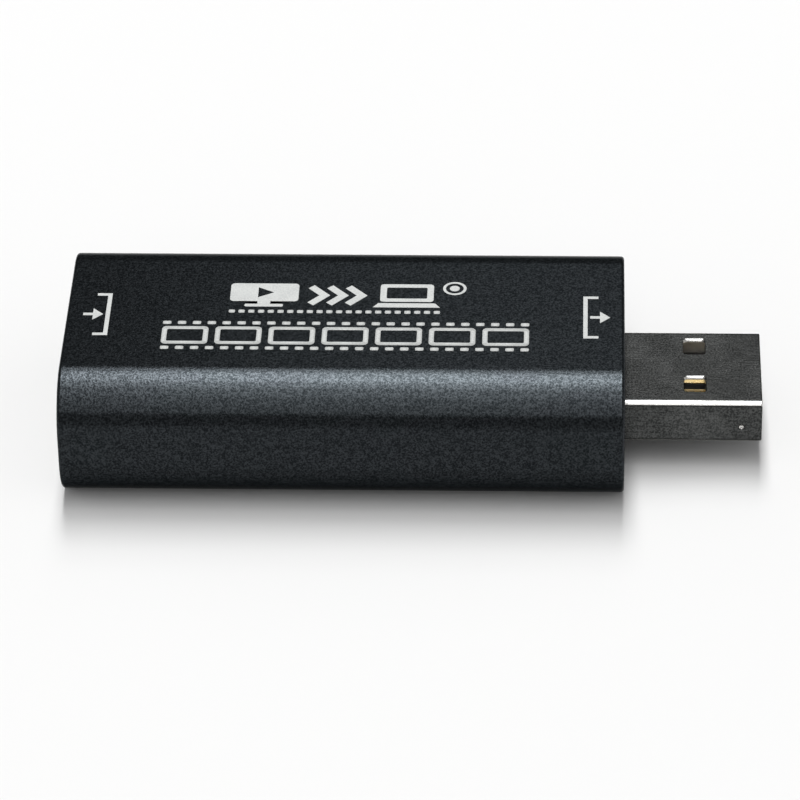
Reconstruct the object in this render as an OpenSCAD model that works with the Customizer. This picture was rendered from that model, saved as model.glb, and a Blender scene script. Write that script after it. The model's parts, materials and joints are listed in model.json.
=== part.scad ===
// Video capture box: a closed aluminium sleeve with a video socket at one end and a
// four-contact serial plug at the other, both soldered to one circuit board.
// X runs from the socket to the plug's tip, Z is up, and the box stands on Z = 0.

/* [Sleeve] */
// Length of the sleeve
body_l = 52; // [46:0.5:70]
// Width of the sleeve
body_w = 27.3; // [25:0.1:34]
// Height of the sleeve
body_h = 12.8; // [11.5:0.1:18]
// Radius of the sleeve's long edges
corner_r = 5; // [2.5:0.1:5.5]
// Thickness of the sleeve's wall
wall_t = 1.1; // [0.9:0.05:1.4]
// Bevel on the sleeve's end edges
end_bevel = 0.3; // [0.1:0.05:0.5]

/* [End caps] */
// Thickness of the end caps
cap_t = 1.6; // [1.2:0.1:2]
// Depth of a cap's face below the sleeve's end
cap_recess = 0.4; // [0.2:0.05:0.8]
// Clearance between a cap and the sleeve
cap_clear = 0.05; // [0.02:0.01:0.1]
// Radius of the nibs that click into the sleeve
nib_r = 0.3; // [0.2:0.05:0.4]
// Height of a nib above the cap's edge
nib_out = 0.2; // [0.1:0.05:0.3]
// Length of a nib
nib_l = 8; // [4:0.5:10]
// Clearance between a connector and the cap around it
mouth_clear = 0.1; // [0.05:0.01:0.2]

/* [Board] */
// Thickness of the circuit board
board_t = 1; // [0.8:0.1:1.2]
// Gap between the sleeve's floor and the board
board_lift = 0.55; // [0.5:0.05:0.8]
// Distance from the sleeve's side to the board's edge
board_inset = 3.15; // [3:0.05:3.6]
// Gap between the board's ends and the caps
board_gap = 0.4; // [0.2:0.05:0.8]
// Clearance of the board in its rails
board_clear = 0.08; // [0.05:0.01:0.15]
// Reach of the rails over the board
rail_reach = 0.9; // [0.6:0.05:1.2]
// Thickness of the rails above the board
rail_t = 0.8; // [0.6:0.1:1.2]
// Reach of the connectors' legs below the board
leg_out = 0.35; // [0.25:0.05:0.45]
// Clearance of a leg or a peg in the board
leg_clear = 0.1; // [0.05:0.01:0.15]
// Width of the solder round a leg
solder_w = 0.35; // [0.2:0.05:0.5]
// Height of the solder round a leg
solder_h = 0.25; // [0.15:0.05:0.25]

/* [Video socket] */
// Width of the socket's opening
socket_w = 14; // [13.5:0.1:15]
// Height of the socket's opening
socket_h = 4.55; // [4.3:0.05:5]
// Width of the opening's narrow lower edge
socket_foot_w = 11.2; // [10.5:0.1:12]
// Height of the opening's sloped lower corners
socket_slope_h = 1.4; // [1:0.1:1.6]
// Inner radius of the socket shell's bends
socket_bend_r = 0.4; // [0.2:0.05:0.5]
// Length of the socket shell
socket_l = 11.5; // [11:0.1:13]
// Depth of the socket's mouth below the cap's face
socket_recess = 0.3; // [0.1:0.05:0.6]
// Gap between the board and the socket shell
socket_standoff = 0.7; // [0.6:0.05:0.9]
// Thickness of the socket shell's sheet
socket_sheet_t = 0.3; // [0.25:0.05:0.35]
// Width of the socket's tongue
socket_tongue_w = 10.4; // [10.2:0.1:10.8]
// Thickness of the socket's tongue
socket_tongue_t = 1.5; // [1.3:0.05:1.6]
// Length of the socket's tongue
socket_tongue_l = 6.4; // [5.6:0.1:6.8]
// Distance from the socket's mouth to its tongue
socket_tongue_in = 1; // [0.5:0.1:1.2]
// Number of contacts above the tongue
upper_pins = 10; // [6:1:10]
// Pitch of the contacts in one row
pin_pitch = 1; // [0.95:0.01:1.02]
// Width of a contact on the tongue
pin_w = 0.5; // [0.4:0.05:0.6]
// Width of a contact's tail
pin_tail_w = 0.28; // [0.2:0.02:0.32]
// Thickness of the socket's contacts
pin_t = 0.2; // [0.15:0.05:0.25]

/* [Socket springs] */
// Length of a spring from its bend to its free end
spring_l = 4.2; // [3.6:0.1:4.6]
// Width of a spring
spring_w = 1.5; // [1.2:0.1:1.6]
// Depth of a spring's crest below the sheet
spring_drop = 0.45; // [0.3:0.05:0.5]
// Gap round a spring in its window
spring_gap = 0.25; // [0.2:0.05:0.3]
// Distance from the socket's mouth to the springs' bends
spring_in = 6.5; // [6.2:0.1:6.8]
// Distance of the upper and lower springs from the middle
spring_y = 3.3; // [2.6:0.1:3.8]

/* [Serial plug] */
// Width of the plug's shell
plug_w = 12; // [11.5:0.1:12.5]
// Height of the plug's shell
plug_h = 4.5; // [4.2:0.1:4.8]
// Whole length of the plug's shell
plug_l = 18.75; // [17.5:0.05:20]
// Length of the plug outside the sleeve
plug_out = 12.8; // [11.5:0.1:14]
// Outer radius of the plug shell's bends
plug_r = 0.6; // [0.45:0.05:0.7]
// Thickness of the plug shell's sheet
plug_sheet_t = 0.3; // [0.25:0.05:0.35]
// Bevel on the edge of the plug's tip
tip_bevel = 0.12; // [0.05:0.01:0.15]
// Depth of the plug's open mouth
plug_mouth_l = 8.9; // [8.4:0.1:9.4]
// Thickness of the plug's tongue
plug_tongue_t = 1.95; // [1.8:0.05:2.1]
// Distance from the plug's tip to its tongue
plug_tongue_in = 0.6; // [0.4:0.1:1]
// Length of a latch window
window_l = 2.15; // [1.8:0.05:2.4]
// Width of a latch window
window_w = 2.5; // [2:0.1:2.8]
// Distance from the plug's tip to the windows
window_in = 5.05; // [4.6:0.05:5.4]
// Distance of a window's centre from the middle
window_y = 3.35; // [3.1:0.05:3.6]
// Radius of the dimple on each side of the plug
dimple_r = 0.3; // [0.2:0.05:0.35]
// Distance from the plug's tip to the dimples
dimple_in = 1.9; // [1.6:0.1:2.4]
// Width of the plug's outer contacts and of its inner ones
plug_pin_w = 1; // [0.8:0.05:1.1]
// Thickness of the plug's contacts
plug_pin_t = 0.25; // [0.2:0.05:0.3]
// Distance of the outer contacts from the middle
power_pin_y = 3.5; // [3.4:0.05:3.6]
// Distance of the inner contacts from the middle
data_pin_y = 1; // [0.9:0.05:1.1]
// Width of the seam along the plug's underside
seam_w = 0.06; // [0.04:0.01:0.1]

/* [Components] */
// Side of the capture chip's body
chip_w = 7; // [6.6:0.1:7.4]
// Height of the capture chip's body
chip_h = 1.4; // [1:0.1:1.6]
// Leads on each side of the capture chip
chip_pins = 12; // [8:1:12]
// Pitch of the capture chip's leads
chip_pitch = 0.5; // [0.45:0.01:0.52]
// Length of the memory chip's body
memory_l = 4.9; // [4.4:0.1:5.2]
// Width of the memory chip's body
memory_w = 3.9; // [3.6:0.1:4.1]
// Height of the memory chip's body
memory_h = 1.5; // [1.2:0.1:1.7]
// Length of the clock crystal
crystal_l = 3.2; // [2.8:0.1:3.4]
// Width of the clock crystal
crystal_w = 2.5; // [2:0.1:2.7]
// Length of a regulator's body
regulator_l = 2.9; // [2.6:0.1:3.1]
// Width of a regulator's body
regulator_w = 1.6; // [1.4:0.1:1.8]
// Length of a surge arrestor
surge_l = 2.5; // [2.2:0.1:2.8]
// Length of a ceramic capacitor
capacitor_l = 1.6; // [1.4:0.05:1.8]
// Length of a resistor
resistor_l = 1.6; // [1.4:0.05:1.8]
// Length of a ferrite bead
bead_l = 2; // [1.8:0.05:2.2]
// Capacitors along one edge of the board
capacitor_count = 5; // [1:1:6]
// Resistors along the other edge
resistor_count = 6; // [1:1:6]

/* [Hidden] */
$fn = 64;

// Cutters reach this far past the faces they open
over = 1;
// Clearance of a contact in its insulator, and of an insulator in its shell
fit = 0.03;
// Straight run of a contact's tail behind its connector, and the length of its foot
tail_run = 0.35;
tail_foot = 0.9;
// Distance from the tongue's end to the socket's contacts
socket_pin_in = 0.4;
// Height of a contact above its tongue
pin_proud = 0.05;
// Running gap at a spring's bend
bend_gap = 0.03;
// Angle of the half wave that a spring's blade follows, and its number of steps
spring_wave = 140;
spring_steps = 8;
// Steps of a bend in the socket's sheet
bend_steps = 5;
// Width of a connector's leg, and the places of the socket's legs behind its mouth
leg_w = 0.9;
socket_legs_in = [3, 9];
// Radius and distance from the middle of the socket's locating pegs
peg_r = 0.4;
peg_y = 3.2;
// Margin of the socket's foot inside the shell's open floor
foot_margin = 0.3;
// Depth of a dimple, and the length and offset of the keys in the plug's seam
dimple_depth = 0.18;
seam_key_l = 1.6;
seam_key_y = 0.9;
seam_keys_in = [4, 10];
// Height of a chip's underside above the board
chip_lift = 0.1;
// Thickness and foot length of the chips' leads
lead_t = 0.15;
lead_foot = 0.6;
// Gap between the connectors' tails and the board's free area
zone_gap = 0.5;

// Least half-height of the flat on the sleeve's side, and least radius of a bend
side_flat = 0.5;
min_r = 0.1;
edge_r = min(corner_r, body_h / 2 - side_flat);
inner_w = body_w - 2 * wall_t;
inner_h = body_h - 2 * wall_t;
inner_r = max(edge_r - wall_t, cap_clear + min_r);
mid_z = body_h / 2;

// The whole length is centred on the origin
x_in = -(body_l + plug_out) / 2;
x_out = x_in + body_l;
x_tip = x_out + plug_out;
seat_depth = cap_recess + cap_t;

board_w = body_w - 2 * board_inset;
board_z = wall_t + board_lift;
board_top = board_z + board_t;
board_x0 = x_in + seat_depth + board_gap;
board_x1 = x_out - seat_depth - board_gap;
board_l = board_x1 - board_x0;

socket_x = x_in + cap_recess + socket_recess;
socket_rear = socket_x + socket_l;
socket_z = board_top + socket_standoff + socket_sheet_t;
socket_mid_z = socket_z + socket_h / 2;
socket_block_x = socket_x + socket_tongue_in + socket_tongue_l;
lower_pins = upper_pins - 1;
spring_x = socket_x + spring_in;
side_spring_z = socket_z + (socket_slope_h + socket_h) / 2;

plug_x = x_tip - plug_l;
plug_z = board_top + plug_h / 2;
plug_floor = board_top + plug_sheet_t;
plug_inner_w = plug_w - 2 * plug_sheet_t;
plug_inner_h = plug_h - 2 * plug_sheet_t;
plug_inner_r = max(plug_r - plug_sheet_t, fit + min_r);
plug_tongue_top = plug_floor + plug_tongue_t;
plug_leg_x = (plug_x + board_x1) / 2;

// Free area of the board between the two connectors' tails
zone_x0 = socket_rear + tail_run + pin_t + tail_foot + zone_gap;
zone_x1 = plug_x - tail_run - plug_pin_t - tail_foot - zone_gap;
zone_x = (zone_x0 + zone_x1) / 2;
// Edge of the board's top that the rails leave free
free_y = board_w / 2 - rail_reach;

// Shared shapes

// Draws a (y, z) outline along +X
module along_x(l) {
    rotate([90, 0, 90]) linear_extrude(l) children();
}

// Draws an (x, z) outline along Y, centred
module along_y(l) {
    rotate([90, 0, 0]) linear_extrude(l, center = true) children();
}

// A rectangle with round corners, centred
module rounded_rect(w, h, r) {
    square([w - 2 * r, h], center = true);
    square([w, h - 2 * r], center = true);
    for (sx = [-1, 1], sy = [-1, 1])
        translate([sx * (w / 2 - r), sy * (h / 2 - r)]) circle(r);
}

// A slab along +X whose rounded outline draws in by its own thickness
module bevel_slab(w, h, r, t) {
    flat_w = w - 2 * r;
    flat_h = h - 2 * r;
    slope = [[0, 0], [t, 0], [t, r - t], [0, r]];
    along_x(t) square([flat_w, flat_h], center = true);
    for (side = [0, 1]) {
        mirror([0, side, 0]) translate([0, flat_w / 2, 0])
            linear_extrude(flat_h, center = true) polygon(slope);
        mirror([0, 0, side]) translate([0, 0, flat_h / 2]) along_y(flat_w) polygon(slope);
    }
    for (sy = [-1, 1], sz = [-1, 1])
        translate([0, sy * flat_w / 2, sz * flat_h / 2])
            rotate([0, 90, 0]) cylinder(h = t, r1 = r, r2 = r - t);
}

// A bar along +X with round long edges and bevelled ends, centred on the X axis
module bevelled_bar(l, w, h, r, bevel) {
    translate([bevel, 0, 0]) along_x(l - 2 * bevel) rounded_rect(w, h, r);
    translate([l - bevel, 0, 0]) bevel_slab(w, h, r, bevel);
    translate([bevel, 0, 0]) mirror([1, 0, 0]) bevel_slab(w, h, r, bevel);
}

// A block centred in X and Y that stands on its own origin
module block(l, w, h) {
    translate([-l / 2, -w / 2, 0]) cube([l, w, h]);
}

// Outline of a strip that runs level at its top z, turns down at x_turn and ends in a foot
function bent_strip(x_start, x_turn, x_end, z_top, z_foot, t) =
    let (turn = x_turn + sign(x_end - x_start) * t)
    [
        [x_start, z_top], [turn, z_top], [turn, z_foot + t], [x_end, z_foot + t],
        [x_end, z_foot], [x_turn, z_foot], [x_turn, z_top - t], [x_start, z_top - t]
    ];

// A chip's lead: it leaves the body's side at half height and ends in a flat foot on the board
module gull_lead(w, h) {
    reach = lead_t + lead_foot + lead_t;
    along_y(w) polygon(bent_strip(0, lead_t, reach, h, 0, lead_t));
}

// A row of leads on the +X side of a body, centred in Y
module lead_row(n, pitch, w, h) {
    for (i = [0 : n - 1]) translate([0, (i - (n - 1) / 2) * pitch, 0]) gull_lead(w, h);
}

// Two solder terminals at the ends of a small part of length l
module terminals(l, w, h) {
    for (side = [-1, 1]) translate([side * (l - terminal_t) / 2, 0, 0]) block(terminal_t, w, h);
}

// Socket outlines

function unit(v) = v / norm(v);
function outward(a, b) = let (d = unit(b - a)) [d[1], -d[0]];
function before(p, i) = p[(i + len(p) - 1) % len(p)];
function after(p, i) = p[(i + 1) % len(p)];

// A convex outline, counter-clockwise, moved outwards by d
function grown(p, d) = [
    for (i = [0 : len(p) - 1])
        let (n1 = outward(before(p, i), p[i]), n2 = outward(p[i], after(p, i)))
        p[i] + (n1 + n2) * d / (1 + n1 * n2)
];

// A convex outline, counter-clockwise, with each corner as an arc of radius r
function rounded(p, r) = [
    for (i = [0 : len(p) - 1])
        let (
            n1 = outward(before(p, i), p[i]),
            n2 = outward(p[i], after(p, i)),
            centre = p[i] - (n1 + n2) * r / (1 + n1 * n2),
            start = atan2(n1[1], n1[0]),
            turn = acos(n1 * n2)
        )
        for (k = [0 : bend_steps])
            let (a = start + turn * k / bend_steps)
            centre + r * [cos(a), sin(a)]
];

socket_corners = [
    [-socket_foot_w / 2, 0], [socket_foot_w / 2, 0],
    [socket_w / 2, socket_slope_h], [socket_w / 2, socket_h],
    [-socket_w / 2, socket_h], [-socket_w / 2, socket_slope_h]
];

// The socket's opening, moved outwards by grow, in (y, z)
module socket_outline(grow) {
    translate([0, socket_z]) polygon(rounded(grown(socket_corners, grow), socket_bend_r + grow));
}

// Sleeve and end caps

module sleeve_place() {
    translate([x_in, 0, mid_z]) children();
}

// Ledges under the board's edges and lips above them, in (y, z)
module rail_outline() {
    rail_w = body_w / 2 - free_y;
    intersection() {
        translate([0, mid_z]) rounded_rect(body_w, body_h, edge_r);
        for (side = [-1, 1]) translate([side * (free_y + rail_w / 2), 0]) {
            translate([-rail_w / 2, 0]) square([rail_w, board_z - board_clear]);
            translate([-rail_w / 2, board_top + board_clear]) square([rail_w, rail_t]);
        }
    }
}

// The nibs above and below a cap whose outer face is at x, or with a clearance the grooves for them
module nibs(x, clear) {
    for (side = [-1, 1])
        translate([x + cap_t / 2, 0, mid_z + side * (inner_h / 2 - cap_clear + nib_out - nib_r)])
            rotate([90, 0, 0]) cylinder(r = nib_r + clear, h = nib_l + 2 * clear, center = true);
}

input_cap_x = x_in + cap_recess;
output_cap_x = x_out - seat_depth;

module housing_sleeve() {
    rails_l = body_l - 2 * seat_depth;
    color("#1d2022") difference() {
        sleeve_place() bevelled_bar(body_l, body_w, body_h, edge_r, end_bevel);
        difference() {
            sleeve_place() translate([-over, 0, 0])
                along_x(body_l + 2 * over) rounded_rect(inner_w, inner_h, inner_r);
            translate([x_in + seat_depth, 0, 0]) along_x(rails_l) rail_outline();
        }
        translate([x_in + seat_depth, 0, board_z - board_clear])
            translate([rails_l / 2, 0, 0])
                block(rails_l, board_w + 2 * board_clear, board_t + 2 * board_clear);
        nibs(input_cap_x, cap_clear);
        nibs(output_cap_x, cap_clear);
    }
}

// A cap's plate with its outer and inner faces square to X
module cap_plate(x) {
    translate([x, 0, mid_z]) along_x(cap_t)
        rounded_rect(inner_w - 2 * cap_clear, inner_h - 2 * cap_clear, inner_r - cap_clear);
    nibs(x, 0);
}

module input_end_cap() {
    color("#141516") difference() {
        cap_plate(input_cap_x);
        translate([input_cap_x - over, 0, 0])
            along_x(cap_t + 2 * over) socket_outline(socket_sheet_t + mouth_clear);
    }
}

module output_end_cap() {
    color("#141516") difference() {
        cap_plate(output_cap_x);
        translate([output_cap_x - over, 0, plug_z]) along_x(cap_t + 2 * over)
            rounded_rect(plug_w + 2 * mouth_clear, plug_h + 2 * mouth_clear, plug_r + mouth_clear);
    }
}

// Circuit board

// Cross-sections of the connectors' legs, grown by clear, from z0 up by h
module socket_legs(clear, z0, h) {
    for (x = socket_legs_in, side = [-1, 1])
        translate([socket_x + x, side * (socket_w + socket_sheet_t) / 2, z0])
            block(leg_w + 2 * clear, socket_sheet_t + 2 * clear, h);
}

module plug_legs(clear, z0, h) {
    for (side = [-1, 1])
        translate([plug_leg_x, side * (plug_w - plug_sheet_t) / 2, z0])
            block(leg_w + 2 * clear, plug_sheet_t + 2 * clear, h);
}

// Pegs under the socket's insulator
module socket_pegs(clear, h) {
    for (side = [-1, 1])
        translate([(socket_block_x + socket_rear) / 2, side * peg_y, board_top - h])
            cylinder(r = peg_r + clear, h = h);
}

module circuit_board() {
    color("#14522f") difference() {
        translate([board_x0 + board_l / 2, 0, board_z]) block(board_l, board_w, board_t);
        socket_legs(leg_clear, board_z - over, board_t + 2 * over);
        plug_legs(leg_clear, board_z - over, board_t + 2 * over);
        translate([0, 0, over]) socket_pegs(leg_clear, board_t + 2 * over);
    }
}

// Solder collars on the board's underside
module socket_leg_solder() {
    color("#b9bcc0") difference() {
        socket_legs(solder_w, board_z - solder_h, solder_h);
        socket_legs(0, board_z - solder_h - over, solder_h + 2 * over);
    }
}

module plug_leg_solder() {
    color("#b9bcc0") difference() {
        plug_legs(solder_w, board_z - solder_h, solder_h);
        plug_legs(0, board_z - solder_h - over, solder_h + 2 * over);
    }
}

// Video socket

// Windows round the springs, cut through the shell's sheet
module spring_windows() {
    window_x = spring_x - spring_l - spring_gap;
    length = spring_l + spring_gap + socket_sheet_t / 2 + bend_gap;
    width = spring_w + 2 * spring_gap;
    depth = socket_sheet_t + 2 * spring_gap;
    for (side = [-1, 1], z = [socket_z - socket_sheet_t / 2, socket_z + socket_h + socket_sheet_t / 2])
        translate([window_x + length / 2, side * spring_y, z - depth / 2]) block(length, width, depth);
    for (side = [-1, 1])
        translate([window_x + length / 2, side * (socket_w + socket_sheet_t) / 2, side_spring_z - width / 2])
            block(length, depth, width);
}

// The floor is open behind the tongue, where the insulator's foot stands on the board
module socket_floor_gap(margin, x1, h) {
    x0 = socket_block_x + margin;
    w = socket_foot_w - 2 * socket_bend_r - 2 * margin;
    translate([(x0 + x1) / 2, 0, board_top]) block(x1 - x0, w, h);
}

module socket_shell() {
    leg_top = socket_z + socket_slope_h + socket_bend_r;
    color("#c9c8c2") difference() {
        union() {
            translate([socket_x, 0, 0]) along_x(socket_l) difference() {
                socket_outline(socket_sheet_t);
                socket_outline(0);
            }
            socket_legs(0, board_z - leg_out, leg_top - board_z + leg_out);
        }
        spring_windows();
        socket_floor_gap(0, socket_rear + over, socket_z + fit - board_top);
    }
}

socket_tongue_top = socket_mid_z + socket_tongue_t / 2;
socket_pin_x = socket_x + socket_tongue_in + socket_pin_in;
socket_turn_x = socket_rear + tail_run;

// Top of the contacts of the upper row, side 1, or of the lower row, side -1
function pin_top(side) =
    side > 0 ? socket_tongue_top + pin_proud : socket_mid_z - socket_tongue_t / 2 - pin_proud + pin_t;

// Middle of contact i in a row of n
function pin_y(i, n) = (i - (n - 1) / 2) * pin_pitch;

// One row of the socket's contacts
module socket_contacts(n, side) {
    strip = bent_strip(socket_pin_x, socket_turn_x, socket_turn_x + pin_t + tail_foot,
        pin_top(side), board_top, pin_t);
    blade_l = socket_block_x - socket_pin_x;
    for (i = [0 : n - 1]) translate([0, pin_y(i, n), 0]) {
        along_y(pin_tail_w) polygon(strip);
        translate([socket_pin_x + blade_l / 2, 0, pin_top(side) - pin_t]) block(blade_l, pin_w, pin_t);
    }
}

// Grooves for one row of contacts along the tongue and through the block behind it
module socket_grooves(n, side) {
    blade_l = socket_block_x - socket_pin_x + 2 * fit;
    tail_l = socket_rear - socket_block_x + over;
    for (i = [0 : n - 1]) translate([0, pin_y(i, n), pin_top(side) - pin_t - fit]) {
        translate([socket_pin_x + blade_l / 2 - fit, 0, 0]) block(blade_l, pin_w + 2 * fit, pin_t + 2 * fit);
        translate([socket_block_x + tail_l / 2, 0, 0]) block(tail_l, pin_tail_w + 2 * fit, pin_t + 2 * fit);
    }
}

module socket_insulator() {
    tongue_x = socket_x + socket_tongue_in;
    color("#17181a") difference() {
        union() {
            translate([socket_block_x, 0, 0]) along_x(socket_rear - socket_block_x) socket_outline(-fit);
            translate([tongue_x + socket_tongue_l / 2, 0, socket_mid_z - socket_tongue_t / 2])
                block(socket_tongue_l, socket_tongue_w, socket_tongue_t);
            socket_floor_gap(foot_margin, socket_rear, socket_mid_z - board_top);
            socket_pegs(0, board_t);
        }
        socket_grooves(upper_pins, 1);
        socket_grooves(lower_pins, -1);
    }
}

module socket_upper_contacts() {
    color("#d2a954") socket_contacts(upper_pins, 1);
}

module socket_lower_contacts() {
    color("#d2a954") socket_contacts(lower_pins, -1);
}

// A spring's blade in (x, z): its bend is at the origin, and it dips towards -Z on its way to -X
function spring_point(u) = [-spring_l * u, -spring_drop * sin(spring_wave * u)];
function spring_slope(u) =
    unit([-spring_l, -spring_drop * spring_wave * PI / 180 * cos(spring_wave * u)]);
function spring_edge(u, side) =
    let (d = spring_slope(u)) spring_point(u) + side * socket_sheet_t / 2 * [-d[1], d[0]];
spring_outline = concat(
    [for (k = [0 : spring_steps]) spring_edge(k / spring_steps, 1)],
    [for (k = [spring_steps : -1 : 0]) spring_edge(k / spring_steps, -1)]
);

// A retention spring whose crest points to -Z
module spring() {
    color("#c9c8c2") {
        along_y(spring_w) polygon(spring_outline);
        rotate([90, 0, 0]) cylinder(d = socket_sheet_t, h = spring_w, center = true);
    }
}

// Turns a spring about the X axis and sets it in the sheet of one of the shell's walls
module spring_at(y, z, turn) {
    translate([spring_x, y, z]) rotate([turn, 0, 0]) spring();
}

upper_spring_z = socket_z + socket_h + socket_sheet_t / 2;
lower_spring_z = socket_z - socket_sheet_t / 2;
side_spring_y = (socket_w + socket_sheet_t) / 2;

// Serial plug

// The seam along the plug's underside, with square keys that step to one side
module plug_seam() {
    depth = plug_sheet_t + over;
    z0 = board_top - over / 2;
    stops = [0, for (x = seam_keys_in) each [x, x + seam_key_l], plug_l];
    for (i = [0 : len(stops) - 2]) {
        y = i % 2 == 0 ? 0 : seam_key_y;
        translate([plug_x + stops[i] - seam_w / 2, y - seam_w / 2, z0])
            cube([stops[i + 1] - stops[i] + seam_w, seam_w, depth]);
    }
    for (i = [1 : len(stops) - 2])
        translate([plug_x + stops[i] - seam_w / 2, -seam_w / 2, z0])
            cube([seam_w, seam_key_y + seam_w, depth]);
}

module plug_windows() {
    for (side = [-1, 1])
        translate([x_tip - window_in - window_l / 2, side * window_y, board_top - over])
            block(window_l, window_w, plug_h + 2 * over);
}

// A ball that leaves a dimple of the stated radius and depth in each side
module plug_dimples() {
    ball_r = (dimple_r * dimple_r + dimple_depth * dimple_depth) / (2 * dimple_depth);
    for (side = [-1, 1])
        translate([x_tip - dimple_in, side * (plug_w / 2 - dimple_depth + ball_r), plug_z]) sphere(ball_r);
}

module plug_shell() {
    color("#b7b8ba") difference() {
        union() {
            translate([plug_x, 0, plug_z]) bevelled_bar(plug_l, plug_w, plug_h, plug_r, tip_bevel);
            plug_legs(0, board_z - leg_out, plug_z - board_z + leg_out);
        }
        translate([plug_x - over, 0, plug_z])
            along_x(plug_l + 2 * over) rounded_rect(plug_inner_w, plug_inner_h, plug_inner_r);
        plug_windows();
        plug_dimples();
        plug_seam();
    }
}

plug_block_x1 = x_tip - plug_mouth_l;
plug_turn_x = plug_x - tail_run;
// The outer contacts start this far behind the tongue's end, and the inner ones one step more
power_pin_in = 0.8;
data_pin_in = 1.8;

// A pair of the plug's contacts at y and -y
module plug_contacts(y, start_in) {
    strip = bent_strip(x_tip - plug_tongue_in - start_in, plug_turn_x, plug_turn_x - plug_pin_t - tail_foot,
        plug_tongue_top + pin_proud, board_top, plug_pin_t);
    for (side = [-1, 1]) translate([0, side * y, 0]) along_y(plug_pin_w) polygon(strip);
}

// Grooves for the same pair in the plug's insulator
module plug_grooves(y, start_in) {
    x1 = x_tip - plug_tongue_in - start_in + fit;
    l = x1 - plug_x + over;
    for (side = [-1, 1])
        translate([x1 - l / 2, side * y, plug_tongue_top + pin_proud - plug_pin_t - fit])
            block(l, plug_pin_w + 2 * fit, plug_pin_t + 2 * fit);
}

module plug_insulator() {
    block_l = plug_block_x1 - plug_x;
    tongue_l = x_tip - plug_tongue_in - plug_x;
    color("#1b1c1e") difference() {
        intersection() {
            translate([plug_x, 0, plug_z]) along_x(tongue_l)
                rounded_rect(plug_inner_w - 2 * fit, plug_inner_h - 2 * fit, plug_inner_r - fit);
            union() {
                translate([plug_x + block_l / 2, 0, board_top]) block(block_l, plug_w, plug_h);
                translate([plug_x + tongue_l / 2, 0, board_top])
                    block(tongue_l, plug_w, plug_sheet_t + plug_tongue_t);
            }
        }
        plug_grooves(power_pin_y, power_pin_in);
        plug_grooves(data_pin_y, data_pin_in);
    }
}

module plug_power_contacts() {
    color("#d2a954") plug_contacts(power_pin_y, power_pin_in);
}

module plug_data_contacts() {
    color("#d2a954") plug_contacts(data_pin_y, data_pin_in);
}

// Components on the board

// Reach of a gull lead from a chip's side
lead_reach = 2 * lead_t + lead_foot;
chip_span = chip_w + 2 * lead_reach;
// Gap between neighbouring components
part_gap = 0.6;
// Radius and depth of the round mark on a chip, and its distance from the chip's sides
mark_r = 0.25;
mark_depth = 0.1;
mark_in = 0.6;

module on_board(x, y) {
    translate([x, y, board_top]) children();
}

// A moulded chip body with a round mark at its first corner
module chip_body(l, w, h) {
    difference() {
        translate([0, 0, chip_lift]) block(l, w, h);
        translate([mark_in - l / 2, mark_in - w / 2, chip_lift + h - mark_depth])
            cylinder(r = mark_r, h = mark_depth + over);
    }
}

chip_lead_w = 0.24;

module capture_chip() {
    color("#1a1a1c") on_board(zone_x, 0) chip_body(chip_w, chip_w, chip_h);
}

module capture_chip_leads() {
    color("#c4c6c8") on_board(zone_x, 0) for (turn = [0 : 90 : 270])
        rotate([0, 0, turn]) translate([chip_w / 2, 0, 0])
            lead_row(chip_pins, chip_pitch, chip_lead_w, chip_lift + chip_h / 2);
}

// The memory chip lies between the capture chip and the plug, clear of the beads' row
memory_x = zone_x + chip_span / 2 + part_gap + memory_l / 2;
memory_side_y = 1.6;
memory_y = memory_side_y + lead_reach + memory_w / 2;
memory_pins = 4;
memory_pitch = 1.27;
memory_lead_w = 0.42;

module memory_chip() {
    color("#1a1a1c") on_board(memory_x, memory_y) chip_body(memory_l, memory_w, memory_h);
}

module memory_chip_leads() {
    color("#c4c6c8") on_board(memory_x, memory_y) for (turn = [90, 270])
        rotate([0, 0, turn]) translate([memory_w / 2, 0, 0])
            lead_row(memory_pins, memory_pitch, memory_lead_w, chip_lift + memory_h / 2);
}

// The crystal sits beside the capture chip on the other side
crystal_x = zone_x + chip_span / 2 + part_gap + crystal_l / 2;
crystal_side_y = 4;
crystal_y = -(crystal_side_y + crystal_w / 2);
crystal_base_h = 0.4;
crystal_lid_h = 0.35;
crystal_rim = 0.2;

module crystal_base() {
    color("#8d7a5c") on_board(crystal_x, crystal_y) block(crystal_l, crystal_w, crystal_base_h);
}

module crystal_lid() {
    color("#cfd1d3") on_board(crystal_x, crystal_y) translate([0, 0, crystal_base_h])
        block(crystal_l - 2 * crystal_rim, crystal_w - 2 * crystal_rim, crystal_lid_h);
}

// Two regulators on the socket's side of the capture chip
regulator_h = 1.1;
regulator_x = zone_x - chip_span / 2 - part_gap - regulator_l / 2;
regulator_y = 4.5;
regulator_lead_w = 0.4;
// The side with three leads and the side with two
regulator_pins = [3, 2];
regulator_pitches = [0.95, 1.9];

module regulators() {
    color("#1a1a1c") for (side = [-1, 1])
        on_board(regulator_x, side * regulator_y) chip_body(regulator_l, regulator_w, regulator_h);
}

module regulator_leads() {
    color("#c4c6c8") for (side = [-1, 1]) on_board(regulator_x, side * regulator_y)
        for (k = [0, 1]) rotate([0, 0, 90 + 180 * k]) translate([regulator_w / 2, 0, 0])
            lead_row(regulator_pins[k], regulator_pitches[k], regulator_lead_w,
                chip_lift + regulator_h / 2);
}

// Surge arrestors right behind the socket's tails
surge_w = 1;
surge_h = 0.5;
surge_y = 3;
surge_pad_h = 0.1;
surge_pads = 5;
surge_x = zone_x0 + surge_w / 2;

module surge_arrestors() {
    color("#1a1a1c") for (side = [-1, 1])
        on_board(surge_x, side * surge_y) translate([0, 0, surge_pad_h]) block(surge_w, surge_l, surge_h);
}

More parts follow.
